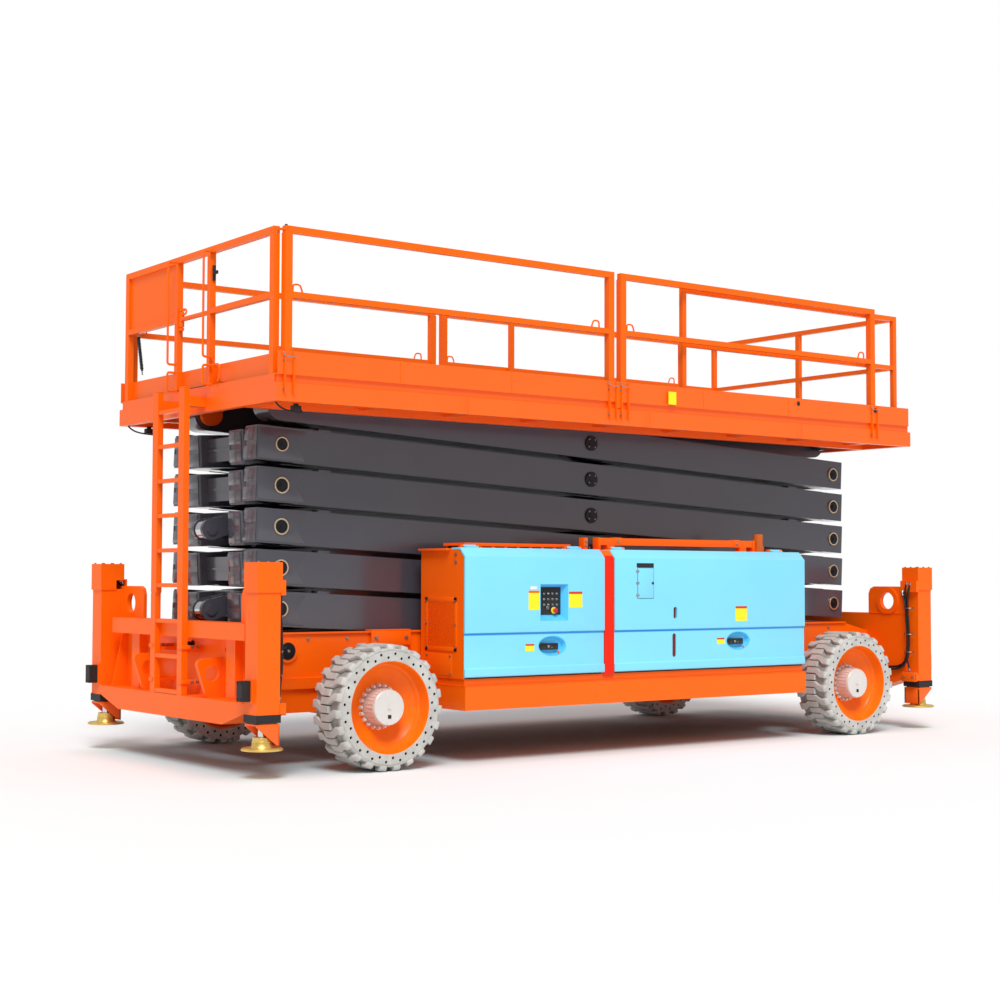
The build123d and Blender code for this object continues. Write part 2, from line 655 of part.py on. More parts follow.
def wear_ring():
    """The black wear ring below the rear right post."""
    x0, x1, y0, y1 = leg_size()
    g = SEAT_GAP
    z1 = POST_Z0 - g
    bars = []
    for a, b in ((POST_X0 - RING_GROW, x0 - g), (x1 + g, POST_X1 + RING_GROW)):
        bars.append(block(a, b, POST_Y0 - RING_GROW, POST_Y1 + RING_GROW, RING_Z0, z1))
    for a, b in ((POST_Y0 - RING_GROW, y0 - g), (y1 + g, POST_Y1 + RING_GROW)):
        bars.append(block(x0, x1, a, b, RING_Z0, z1))
    return group(*bars)


def bumper():
    """The rubber bumper of the rear right post."""
    return block(POST_X1 + BUMPER_PAD_T + SEAT_GAP, BUMPER_X1, BUMPER_Y0, BUMPER_Y1, BUMPER_Z0, BUMPER_Z1)


def axle_beam():
    """The rear axle: a box beam with a yoke at each end."""
    z0 = WHEEL_Z - AXLE_H / 2
    z1 = WHEEL_Z + AXLE_H / 2
    half = block(AXLE_X - AXLE_W / 2, AXLE_X + AXLE_W / 2, 0, AXLE_Y1, z0, z1)
    ear_top = WHEEL_Z + KNUCKLE_HALF_H + YOKE_GAP
    yoke = block(AXLE_X - EAR_R, AXLE_X + EAR_R, AXLE_Y1 - 40, KINGPIN_Y, ear_top, ear_top + YOKE_T)
    yoke += bar_z(AXLE_X, KINGPIN_Y, ear_top, ear_top + YOKE_T, EAR_R)
    yoke += bar_z(AXLE_X, KINGPIN_Y, WHEEL_Z + 30, ear_top + YOKE_T, KINGPIN_R)
    yoke += mirror(yoke, about=Plane((0, 0, WHEEL_Z)))
    cheek = block(AXLE_X - EAR_R, AXLE_X + EAR_R, AXLE_Y1 - 40, AXLE_Y1,
                  WHEEL_Z - KNUCKLE_HALF_H - YOKE_GAP - YOKE_T, ear_top + YOKE_T)
    return across(half + yoke + cheek)


def knuckle():
    """The rear right steering knuckle with its spindle and steering arm."""
    half = KNUCKLE_HALF_H
    part = bar_z(AXLE_X, KINGPIN_Y, WHEEL_Z - half, WHEEL_Z + half, EAR_R)
    part += bar_y(AXLE_X, WHEEL_Z, KINGPIN_Y, CARRIER_Y1, CARRIER_R * 0.8)
    part += bar_y(AXLE_X, WHEEL_Z, CARRIER_Y1 - 40, CARRIER_Y1, CARRIER_R)
    part += bar_y(AXLE_X, WHEEL_Z, CARRIER_Y1 - 5, SPINDLE_Y1, SPINDLE_R)
    tip = AXLE_X - ARM_REACH
    part += block(tip, AXLE_X, KINGPIN_Y - ARM_HALF_W, KINGPIN_Y + ARM_HALF_W, WHEEL_Z - ARM_T, WHEEL_Z)
    part += bar_z(tip, KINGPIN_Y, WHEEL_Z - ARM_T, WHEEL_Z, ARM_HALF_W)
    pins = bar_z(AXLE_X, KINGPIN_Y, WHEEL_Z - half - 1, WHEEL_Z - 29, KINGPIN_R + RUN_CLEAR)
    pins += bar_z(AXLE_X, KINGPIN_Y, WHEEL_Z + 29, WHEEL_Z + half + 1, KINGPIN_R + RUN_CLEAR)
    return part - pins


def tie_rod():
    """The rear tie rod with a ball end on each knuckle arm."""
    x = AXLE_X - ARM_REACH
    z0 = WHEEL_Z + SEAT_GAP
    half = bar_y(x, z0 + TIE_END_H / 2, 0, KINGPIN_Y, TIE_R * 0.9)
    half += bar_z(x, KINGPIN_Y, z0, z0 + TIE_END_H, TIE_END_R)
    return across(half)


def rim():
    """The right rear rim: seat, dish, disc, hub case and studs, turned about its axle."""
    y_in = TYRE_Y0 + 12
    y_out = TYRE_Y1 - 6
    inner = RIM_OPEN_R - RIM_WALL
    disc_y1 = RIM_DISC_Y0 + RIM_DISC_T
    outline = [
        (RIM_OPEN_R - 25, RIM_DISC_Y0), (RIM_OPEN_R - 25, y_in), (RIM_SEAT_R - 2, y_in),
        (RIM_SEAT_R - 2, y_out), (RIM_OPEN_R, y_out), (inner, y_out - 30), (inner - 30, disc_y1 + 40),
        (inner - 90, disc_y1), (HUB_CASE_R, disc_y1), (HUB_CASE_R, HUB_FACE_Y - 8),
        (HUB_CASE_R - 8, HUB_FACE_Y), (0, HUB_FACE_Y), (0, SPINDLE_Y1 + 3),
        (SPINDLE_R + RUN_CLEAR, SPINDLE_Y1 + 3), (SPINDLE_R + RUN_CLEAR, RIM_DISC_Y0),
    ]
    face = make_face(Polyline(*outline, close=True))
    part = Pos(AXLE_X, 0, WHEEL_Z) * revolve(face, Axis.Y)
    for i in range(STUD_COUNT):
        a = 2 * math.pi * i / STUD_COUNT
        part += bar_y(AXLE_X + STUD_RING_R * math.cos(a), WHEEL_Z + STUD_RING_R * math.sin(a),
                      disc_y1 - 1, disc_y1 + STUD_LEN, STUD_R)
    return part


def tyre():
    """The right rear solid tyre."""
    outline = [
        (RIM_SEAT_R - 2, TYRE_Y0 + 8), (WHEEL_R - 36, TYRE_Y0), (WHEEL_R - 6, TYRE_Y0 + 10),
        (WHEEL_R, TYRE_Y0 + 24), (WHEEL_R, TYRE_Y1 - 24), (WHEEL_R - 6, TYRE_Y1 - 10),
        (WHEEL_R - 36, TYRE_Y1), (RIM_SEAT_R - 2, TYRE_Y1 - 2),
    ]
    face = make_face(Polyline(*outline, close=True))
    return Pos(AXLE_X, 0, WHEEL_Z) * revolve(face, Axis.Y)


def door_profile(grow):
    """Half section of a right-hand door skin, its outer face moved in by grow."""
    return [
        (DOOR_Y1 - DOOR_STEP - grow, DOOR_Z0), (DOOR_Y1 - grow, DOOR_LIP_Z),
        (DOOR_Y1 - grow, DOOR_CREASE_Z), (DOOR_Y1 - DOOR_STEP - grow, DOOR_CREASE_Z + 10),
        (DOOR_Y1 - DOOR_STEP - grow, CHAMFER_Z - grow * 0.4),
        (CHAMFER_Y - grow * 0.4, DOOR_TOP_Z - grow),
    ]


def door(x0, x1, dish_x):
    """A right-hand cabinet door that hangs from hinges on the roof."""
    top_y = HINGE_Y + HINGE_BARREL_R + 2
    outer = door_profile(0) + [(top_y, DOOR_TOP_Z)]
    inner = [(top_y, DOOR_TOP_Z - DOOR_T)] + list(reversed(door_profile(DOOR_T)))
    part = plate_yz(outer + inner, x0, x1)
    dish = Pos(dish_x, DOOR_Y1 - DISH_DEPTH - DISH_WALL, DISH_Z) * Rot(-90, 0, 0) * extrude(
        Ellipse(DISH_RX + DISH_WALL, DISH_RZ + DISH_WALL), amount=DISH_DEPTH)
    part += dish
    part -= Pos(dish_x, DOOR_Y1 - DISH_DEPTH, DISH_Z) * Rot(-90, 0, 0) * extrude(
        Ellipse(DISH_RX, DISH_RZ), amount=DISH_DEPTH + 5)
    part += block(dish_x - DISH_RX - 1, dish_x + DISH_RX * 0.5, DOOR_Y1 - 26, DOOR_Y1 - 8,
                  DISH_Z - 12, DISH_Z + 12)
    for x in (x0 + HINGE_W * 1.5, x1 - HINGE_W * 1.5):
        leaf = bar_x(HINGE_Y, HINGE_Z, x - HINGE_W / 2, x + HINGE_W / 2, HINGE_BARREL_R)
        leaf += block(x - HINGE_W / 2, x + HINGE_W / 2, HINGE_Y, top_y + 30, DOOR_TOP_Z, HINGE_Z + 2)
        leaf -= bar_x(HINGE_Y, HINGE_Z, x - HINGE_W, x + HINGE_W, HINGE_PIN_R + RUN_CLEAR)
        part += leaf
    return part


def door_hinge_pins(x0, x1):
    """The fixed halves of one door's two hinges."""
    parts = []
    for x in (x0 + HINGE_W * 1.5, x1 - HINGE_W * 1.5):
        pin = bar_x(HINGE_Y, HINGE_Z, x - HINGE_W / 2 - 24, x + HINGE_W / 2 + 24, HINGE_PIN_R)
        for s in (-1, 1):
            cx = x + s * (HINGE_W / 2 + 15)
            pin += bar_x(HINGE_Y, HINGE_Z, cx - 14, cx + 14, HINGE_BARREL_R)
            pin += block(cx - 14, cx + 14, HINGE_Y - 26, HINGE_Y, ROOF_Z1 + SEAT_GAP, HINGE_Z)
        parts.append(pin)
    return parts


def cabinet():
    """The right-hand cabinet shell: tray, sill, back, ends, dividers and roof panels."""
    g = SEAT_GAP
    t = CAB_SKIN
    edge = DOOR_T + DOOR_GAP
    wall_y = DOOR_Y1 - DOOR_STEP - edge
    parts = [block(CAB_X0, CAB_X1, CAB_Y0, TRAY_Y1, TRAY_Z0, TRAY_Z0 + t)]
    parts.append(block(CAB_X0, CAB_X1, TRAY_Y1 - t, TRAY_Y1, TRAY_Z0 + t + g, TRAY_Z1))
    parts.append(block(CAB_X0, CAB_X0 + t, CAB_Y0, TRAY_Y1 - t - g, TRAY_Z0 + t + g, TRAY_Z1))
    parts.append(block(CAB_X1 - t, CAB_X1, CAB_Y0, TRAY_Y1 - t - g, TRAY_Z0 + t + g, TRAY_Z1))
    sill = block(CAB_X0 + 12, CAB_X1 - 12, CAB_Y0 + t + g, SILL_Y1, TRAY_Z1 + g, SILL_Z1)
    sill -= block(CAB_X0 + 60, CAB_X1 - 60, CAB_Y0 + 60, SILL_Y1 - 60, TRAY_Z1, SILL_Z1 + 1)
    parts.append(sill)
    parts.append(block(CAB_X0 + t + g, CAB_X1 - t - g, CAB_Y0, CAB_Y0 + t, TRAY_Z0 + t + g, ROOF_Z1 - t - g))
    end = [
        (CAB_Y0, SILL_Z1 + g), (wall_y, SILL_Z1 + g), (wall_y, CHAMFER_Z - 14),
        (CHAMFER_Y - 14, DOOR_TOP_Z - edge), (CHAMFER_Y - 60, ROOF_Z1 - t - g), (CAB_Y0, ROOF_Z1 - t - g),
    ]
    parts.append(plate_yz(end, CAB_X0, CAB_X0 + t))
    parts.append(plate_yz(end, CAB_X1 - t, CAB_X1))
    inner = [(CAB_Y0 + t + g, SILL_Z1 + g)] + end[1:5] + [(CAB_Y0 + t + g, ROOF_Z1 - t - g)]
    parts.append(plate_yz(inner, DIVIDER_X0 - 20, DIVIDER_X0))
    parts.append(plate_yz(inner, DIVIDER_X1, DIVIDER_X1 + 20))
    column = [(wall_y + g, SILL_Z1 + g), (DOOR_Y1 - DOOR_STEP - 4, SILL_Z1 + g),
              (DOOR_Y1 - DOOR_STEP - 4, CHAMFER_Z - 2), (CHAMFER_Y, DOOR_TOP_Z - 6),
              (HINGE_Y + 10, DOOR_TOP_Z - 6), (HINGE_Y + 10, DOOR_TOP_Z - edge + g),
              (CHAMFER_Y - 14 + g, DOOR_TOP_Z - edge + g), (wall_y + g, CHAMFER_Z - 14 + g)]
    parts.append(plate_yz(column, MIDDLE_X0 + DOOR_GAP, MIDDLE_X1 - DOOR_GAP))
    roof = block(CAB_X0 - 3, CAB_X1 + 3, CAB_Y0 - ROOF_OVER, HINGE_Y - 4, ROOF_Z1 - t, ROOF_Z1)
    parts.append(roof)
    parts += door_hinge_pins(CAB_X0, MIDDLE_X0)
    parts += door_hinge_pins(MIDDLE_X1, CAB_X1)
    return group(*parts)


def left(part):
    """A right-hand part mirrored to the left side."""
    return mirror(part, about=Plane.XZ)


def front(part):
    """A rear part mirrored to the front."""
    return mirror(part, about=Plane.YZ)


def roof_fittings():
    """Vent lid, square bar and beacon stand on the left cabinet roof."""
    g = SEAT_GAP
    parts = [block(VENT_X0, VENT_X1, -VENT_Y1, -VENT_Y0, VENT_Z0, VENT_Z0 + VENT_T)]
    for x in (VENT_X0 + 60, VENT_X1 - 60):
        for y in (-VENT_Y1 + 40, -VENT_Y0 - 40):
            parts.append(bar_z(x, y, ROOF_Z1 + g, VENT_Z0 - g, 14))
    parts.append(block(BAR_X0, BAR_X1, -BAR_Y0 - BAR_SIZE, -BAR_Y0, BAR_Z0, BAR_Z0 + BAR_SIZE))
    for x in (BAR_X0 + 120, BAR_X1 - 120):
        parts.append(block(x - 40, x + 40, -BAR_Y0 - BAR_SIZE, -BAR_Y0, ROOF_Z1 + g, BAR_Z0 - g))
    return group(*parts)


def beacon():
    """Amber beacon on its base."""
    part = bar_z(BEACON_X, -BEACON_Y, ROOF_Z1 + SEAT_GAP, ROOF_Z1 + 60, 55)
    return part + bar_z(BEACON_X, -BEACON_Y, ROOF_Z1 + 55, ROOF_Z1 + 170, 45)


def control_box():
    """The ground control box behind the window in the left front door."""
    y1 = DOOR_Y1 - DOOR_STEP - DOOR_T - DOOR_GAP
    part = block(PANEL_X0 + 20, PANEL_X1 - 20, -y1, -y1 + 120, PANEL_Z0 + 20, PANEL_Z1 - 20)
    return part + block(PANEL_X0 + 60, DIVIDER_X0 - 20, -y1 + 60, -y1 + 80, PANEL_Z0 + 40, PANEL_Z1 - 40)


def deck():
    """Platform frame, deck plate, toe boards, arm hangers and roller tracks."""
    g = SEAT_GAP
    top = DECK_Z0 - g
    inner_y = DECK_Y - BAND_T
    band = block(-DECK_X, DECK_X, inner_y, DECK_Y, BAND_Z0, BAND_Z1)
    strip = block(-DECK_X + 20, DECK_X - 20, inner_y + 10, STRIP_Y1, BAND_Z1 + g, top)
    x_in = DECK_X - BAND_T - g
    rail = block(-x_in, x_in, LONG_Y0, LONG_Y1, BAND_Z0, top)
    sides = [band, strip]
    for i in range(9):
        x = -3200 + 800 * i
        sides.append(block(x - 40, x + 40, LONG_Y1 + g, inner_y - g, BAND_Z0 + 30, BAND_Z1))
    z = level_z(PAIRS)
    pin = bar_y(-PIN_X, z, HANGER_Y0, LONG_Y1 + 10, PIN_R)
    rail -= bar_y(-PIN_X, z, LONG_Y0 - 1, LONG_Y1 + 1, PIN_R + g)
    hanger = bar_y(-PIN_X, z, HANGER_Y0, HANGER_Y1, PIN_R + 45)
    hanger += block(-PIN_X - 110, -PIN_X + 110, HANGER_Y0, HANGER_Y1, z + 30, top)
    hanger -= bar_y(-PIN_X, z, HANGER_Y0 - 1, HANGER_Y1 + 1, PIN_R + g)
    track = block(TRACK_X0, TRACK_X1, DECK_ROLLER_Y0 - 10, DECK_ROLLER_Y1 + 10,
                  z + DECK_ROLLER_R + g, top)
    toe = block(FRONT_X + g, TOE_X1, TOE_Y1 - TOE_T, TOE_Y1, DECK_Z0, TOE_Z1)
    sides += [rail, pin, hanger, track, toe]
    middle = []
    for s in (-1, 1):
        x0, x1 = sorted((s * (DECK_X - BAND_T), s * DECK_X))
        middle.append(block(x0, x1, -inner_y + g, inner_y - g, BAND_Z0, BAND_Z1))
        middle.append(block(x0 + 10, x1 - 10, -inner_y - 10 + g, inner_y + 10 - g, BAND_Z1 + g, top))
    middle.append(block(FRONT_X + g, DECK_X - 15, -TOE_Y1 + TOE_T + g, TOE_Y1 - TOE_T - g,
                        DECK_Z0, DECK_Z0 + DECK_T))
    toe_y = RAIL_Y1 - RAIL_POST - TOE_T
    middle.append(block(FRONT_X + RAIL_T + g, FRONT_X + RAIL_T + TOE_T, -toe_y, toe_y,
                        DECK_Z0 + DECK_T + g, TOE_Z1))
    return group(both_sides(group(*sides)), *middle)


def rail_section(x0, x1):
    """One right-hand guardrail section with two posts."""
    g = SEAT_GAP
    y0 = RAIL_Y1 - RAIL_POST
    z0 = DECK_Z0 + DECK_T + g
    y1 = RAIL_Y1 - g
    parts = [block(x0, x1, RAIL_Y1 - RAIL_T, y1, RAIL_Z1 - RAIL_T, RAIL_Z1)]
    for x in (x0, x1 - RAIL_POST):
        parts.append(block(x, x + RAIL_POST, y0, y1, z0, RAIL_Z1 - RAIL_T - g))
    parts.append(block(x0 + RAIL_POST + g, x1 - RAIL_POST - g, RAIL_Y1 - MID_T, y1, MID_Z0, MID_Z0 + MID_T))
    return group(*parts)


def front_rail():
    """The front rail with the gate posts."""
    g = SEAT_GAP
    x0 = FRONT_X + g
    x1 = FRONT_X + RAIL_T
    z0 = DECK_Z0 + DECK_T + g
    z1 = RAIL_Z1 - RAIL_T - g
    parts = [block(x0, x1, -CORNER_Y1, CORNER_Y1, RAIL_Z1 - RAIL_T, RAIL_Z1)]
    for y in (-CORNER_Y1, CORNER_Y1 - RAIL_POST):
        parts.append(block(x0, x1, y, y + RAIL_POST, z0, z1))
    for y in (GATE_Y0 - GATE_POST, GATE_Y1):
        parts.append(block(x0, x1, y, y + GATE_POST, z0, z1))
    spans = ((-CORNER_Y1 + RAIL_POST + g, GATE_Y0 - GATE_POST - g),
             (GATE_Y1 + GATE_POST + g, CORNER_Y1 - RAIL_POST - g))
    for y0, y1 in spans:
        parts.append(block(x0, x1, y0, y1, MID_Z0, MID_Z0 + MID_T))
    parts.append(block(x0 + 20, x0 + 26, spans[1][0], spans[1][1], MID_Z0 + MID_T + g, z1))
    return group(*parts)


def gate():
    """Swinging bar across the platform entrance, hinged on the right gate post."""
    x = FRONT_X + RAIL_T / 2
    y1 = GATE_Y1 - 30
    part = bar_y(x, GATE_Z, GATE_Y0 + 6, y1, GATE_BAR_R)
    part += bar_z(x, y1, GATE_Z - 60, GATE_Z + 60, 20)
    return part - bar_z(x, y1, GATE_Z - 61, GATE_Z + 61, 10 + RUN_CLEAR)


def gate_hinge():
    """Pin and ears of the gate bar on its post."""
    x = FRONT_X + RAIL_T / 2
    y1 = GATE_Y1 - 30
    part = bar_z(x, y1, GATE_Z - 90, GATE_Z + 90, 10)
    for z in (GATE_Z - 90, GATE_Z + 66):
        part += block(x - 14, x + 14, y1 - 14, GATE_Y1 - SEAT_GAP, z, z + 24)
    return part


def extension_floor():
    """Sliding floor with its slide pads, side plates and end toe board."""
    g = SEAT_GAP
    z0 = DECK_Z0 + DECK_T + EXT_GAP
    z1 = z0 + EXT_FLOOR_T
    parts = [block(EXT_X0, EXT_X1 - g, -EXT_Y1, EXT_Y1, z0, z1)]
    for x in (EXT_X0 + 60, (EXT_X0 + EXT_X1) / 2 - 500):
        for y in (-1000, 1000):
            parts.append(block(x - 50, x + 50, y - 60, y + 60, DECK_Z0 + DECK_T + g, z0 - g))
    parts.append(block(EXT_X1, EXT_X1 + EXT_TOE_T, -EXT_TOE_Y, EXT_TOE_Y, z0, TOE_Z1))
    parts.append(both_sides(block(EXT_X0, EXT_X1 - g, EXT_Y1 - 10, EXT_Y1, z1 + g, TOE_Z1 - 40)))
    return group(*parts)


def extension_rails():
    """Nested guardrail of the extension."""
    g = SEAT_GAP
    z0 = DECK_Z0 + DECK_T + EXT_GAP + EXT_FLOOR_T + g
    y0 = EXT_Y1 - 10 - EXT_TUBE
    y1 = EXT_Y1 - 10 - g
    x_end = EXT_X1 - EXT_TUBE
    z1 = EXT_RAIL_Z1 - EXT_TUBE
    sides = [block(EXT_X0, EXT_X1, y0, y1, z1, EXT_RAIL_Z1)]
    for x in (EXT_X0, x_end - g):
        sides.append(block(x, x + EXT_TUBE, y0, y1, z0, z1 - g))
    sides.append(block(EXT_X0 + EXT_TUBE + g, x_end - 2 * g, y0, y1, MID_Z0 - 20, MID_Z0 + 20))
    middle = [block(x_end, EXT_X1, -y0 + g, y0 - g, z1, EXT_RAIL_Z1)]
    middle.append(block(x_end, EXT_X1 - g, -EXT_MID_POST - g, EXT_MID_POST + g, z0, z1 - g))
    bar = block(x_end, EXT_X1 - g, EXT_MID_POST + 2 * g, y0 - g, MID_Z0 - 20, MID_Z0 + 20)
    return group(both_sides(group(*sides)), both_sides(bar), *middle)


def ladder(z0, z1, rungs, stile_w):
    """A ladder of two stiles and flat rungs."""
    g = SEAT_GAP
    y0 = LADDER_Y - LADDER_W / 2
    y1 = LADDER_Y + LADDER_W / 2
    parts = [block(LADDER_X, LADDER_X + LADDER_D, y0, y0 + stile_w, z0, z1)]
    parts.append(block(LADDER_X, LADDER_X + LADDER_D, y1 - stile_w, y1, z0, z1))
    for z in rungs:
        parts.append(block(LADDER_X + 4, LADDER_X + LADDER_D - 4, y0 + stile_w + g, y1 - stile_w - g,
                           z - RUNG_H / 2, z + RUNG_H / 2))
    return parts


def platform_ladder():
    """The ladder that hangs from the front of the platform."""
    rungs = [RUNG_TOP_Z - RUNG_PITCH * i for i in range(6)]
    parts = ladder(LADDER_SPLIT_Z, LADDER_TOP_Z, rungs, STILE_T)
    for y in (LADDER_Y - LADDER_W / 2, LADDER_Y + LADDER_W / 2 - STILE_T):
        parts.append(block(LADDER_X + LADDER_D + SEAT_GAP, -DECK_X - SEAT_GAP, y, y + STILE_T,
                           BAND_Z0 + 40, BAND_Z1 - 20))
    return group(*parts)


def chassis_ladder():
    """The short ladder on the front frame."""
    rungs = [LADDER_LOW_RUNG_Z + RUNG_PITCH * i for i in range(3)]
    parts = ladder(LOWER_BEAM_Z1 + SEAT_GAP, LADDER_SPLIT_Z - 8, rungs, STILE_T - 12)
    for y in (LADDER_Y - LADDER_W / 2, LADDER_Y + LADDER_W / 2 - STILE_T + 12):
        for z in (620, 860):
            parts.append(block(LADDER_X + LADDER_D + SEAT_GAP, -BACK_X1 - SEAT_GAP, y + 20,
                               y + STILE_T - 32, z, z + 30))
    return group(*parts)


def build():
    """All nodes by name."""
    nodes = {}
    nodes["chassis_frame"] = chassis_frame()
    rear_frame = end_frame()
    nodes["end_frame_rear"] = rear_frame
    nodes["end_frame_front"] = front(rear_frame)
    nodes["wear_rings"] = both_ends(both_sides(wear_ring()))
    nodes["bumper_pads"] = both_ends(both_sides(bumper()))
    axle = axle_beam()
    nodes["axle_rear"] = axle
    nodes["axle_front"] = front(axle)
    shell = cabinet()
    nodes["cabinet_right"] = shell
    nodes["cabinet_left"] = left(shell)
    nodes["roof_fittings"] = roof_fittings()
    nodes["beacon"] = beacon()
    nodes["control_box"] = control_box()
    nodes["engine_block"] = block(ENGINE_X0, ENGINE_X1, -ENGINE_Y1, -ENGINE_Y0, SILL_Z1 + SEAT_GAP,
                                  ENGINE_Z1)
    nodes["chassis_ladder"] = chassis_ladder()
    for k in range(1, PAIRS + 1):
        nodes[f"inner_arms_{k}"] = inner_frame(k)
        nodes[f"outer_arms_{k}"] = outer_frame(k)
    for name, k in (("lower", 1), ("upper", 3)):
        nodes[f"{name}_cylinder_barrel"] = barrel(k)
        nodes[f"{name}_cylinder_rod"] = rod(k)
    nodes["platform_deck"] = deck()
    rails = both_sides(group(rail_section(RAIL_A_X0, RAIL_A_X1), rail_section(RAIL_B_X0, RAIL_B_X1)))
    nodes["guardrails"] = group(rails, front_rail(), gate_hinge())
    nodes["platform_ladder"] = platform_ladder()
    nodes["extension_floor"] = extension_floor()
    nodes["extension_rails"] = extension_rails()
    nodes["gate_bar"] = gate()
    leg = outrigger_leg()
    steer = knuckle()
    wheel_rim = rim()
    wheel_tyre = tyre()
    for end, place in (("rear", lambda p: p), ("front", front)):
        nodes[f"tie_rod_{end}"] = place(tie_rod())
        for side, turn in (("right", lambda p: p), ("left", left)):
            nodes[f"outrigger_leg_{end}_{side}"] = turn(place(leg))
            nodes[f"knuckle_{end}_{side}"] = turn(place(steer))
            nodes[f"rim_{end}_{side}"] = turn(place(wheel_rim))
            nodes[f"tyre_{end}_{side}"] = turn(place(wheel_tyre))
    front_door = door(CAB_X0, MIDDLE_X0, -760.0)
    rear_door = door(MIDDLE_X1, CAB_X1, 1150.0)
    nodes["door_front_right"] = front_door
    nodes["door_rear_right"] = rear_door
    nodes["door_rear_left"] = left(rear_door)
    window = block(PANEL_X0, PANEL_X1, DOOR_Y1 - 60, DOOR_Y1 + 10, PANEL_Z0, PANEL_Z1)
    nodes["door_front_left"] = left(front_door - window)
    return nodes


for node_name, shape in build().items():
    export_step(shape, f"parts/{node_name}.step")
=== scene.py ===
"""Looks of the rough-terrain scissor lift: materials, small parts, light and camera."""
import math

import bpy
from mathutils import Matrix, Vector


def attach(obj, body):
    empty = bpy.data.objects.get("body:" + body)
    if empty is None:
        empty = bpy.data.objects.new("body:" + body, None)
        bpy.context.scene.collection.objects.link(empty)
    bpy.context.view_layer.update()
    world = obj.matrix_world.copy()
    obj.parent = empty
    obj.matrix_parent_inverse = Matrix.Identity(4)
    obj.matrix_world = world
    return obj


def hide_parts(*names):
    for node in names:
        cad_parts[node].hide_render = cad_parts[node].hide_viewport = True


bl_info = {
    "name": "Scissor lift looks",
    "version": (1, 0, 0),
    "blender": (4, 5, 0),
    "location": "View3D > Sidebar > Lift",
    "description": "Dresses the scissor lift's frame with materials and small parts",
    "category": "Object",
}

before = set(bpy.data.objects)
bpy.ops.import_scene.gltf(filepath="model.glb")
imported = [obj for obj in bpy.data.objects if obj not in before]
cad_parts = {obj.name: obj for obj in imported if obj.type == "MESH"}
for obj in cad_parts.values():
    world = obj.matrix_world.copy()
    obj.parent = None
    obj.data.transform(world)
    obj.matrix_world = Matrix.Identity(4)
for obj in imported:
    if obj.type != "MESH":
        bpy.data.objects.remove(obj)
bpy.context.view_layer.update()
SIDES = (("left", -1.0), ("right", 1.0))
ENDS = (("front", -1.0), ("rear", 1.0))
PIN_X = 3.085
LEVEL = 0.3155
LEVEL_0 = 0.88
WHEEL_X = 2.578
WHEEL_Y = 1.31
WHEEL_Z = 0.472
TYRE_R = 0.472
LEG = (3.5795, 1.345)
# Faces that small parts sit on
FRAME_X = 3.4865
CAB_X = -1.886
ARM_Y = 0.713


# Shader expressions
class Ex:
    """A socket of one node tree, with operators that add Math nodes."""

    def __init__(self, tree, value):
        self.tree = tree
        self.value = value

    def _math(self, op, *args, clamp=False):
        node = self.tree.nodes.new("ShaderNodeMath")
        node.operation = op
        node.use_clamp = clamp
        for i, a in enumerate(args):
            a = a.value if isinstance(a, Ex) else a
            if isinstance(a, (int, float)):
                node.inputs[i].default_value = a
            else:
                self.tree.links.new(a, node.inputs[i])
        return Ex(self.tree, node.outputs[0])

    def __add__(self, o):
        return self._math("ADD", self, o)

    __radd__ = __add__

    def __sub__(self, o):
        return self._math("SUBTRACT", self, o)

    def __rsub__(self, o):
        return self._math("SUBTRACT", o, self)

    def __mul__(self, o):
        return self._math("MULTIPLY", self, o)

    __rmul__ = __mul__

    def __gt__(self, o):
        return self._math("GREATER_THAN", self, o)

    def __abs__(self):
        return self._math("ABSOLUTE", self)

    def sqrt(self):
        return self._math("SQRT", self)

    def clamp(self):
        return self._math("ADD", self, 0.0, clamp=True)

    def most(self, o):
        return self._math("MAXIMUM", self, o)

    def wrap(self, o):
        return self._math("FLOORED_MODULO", self, o)

    def turn(self, o):
        return self._math("ARCTAN2", self, o)

    def step(self, low, high):
        """0 below low, 1 above high, smooth between."""
        node = self.tree.nodes.new("ShaderNodeMapRange")
        node.interpolation_type = "SMOOTHSTEP"
        node.inputs["From Min"].default_value = low
        node.inputs["From Max"].default_value = high
        self.tree.links.new(self.value, node.inputs["Value"])
        return Ex(self.tree, node.outputs[0])


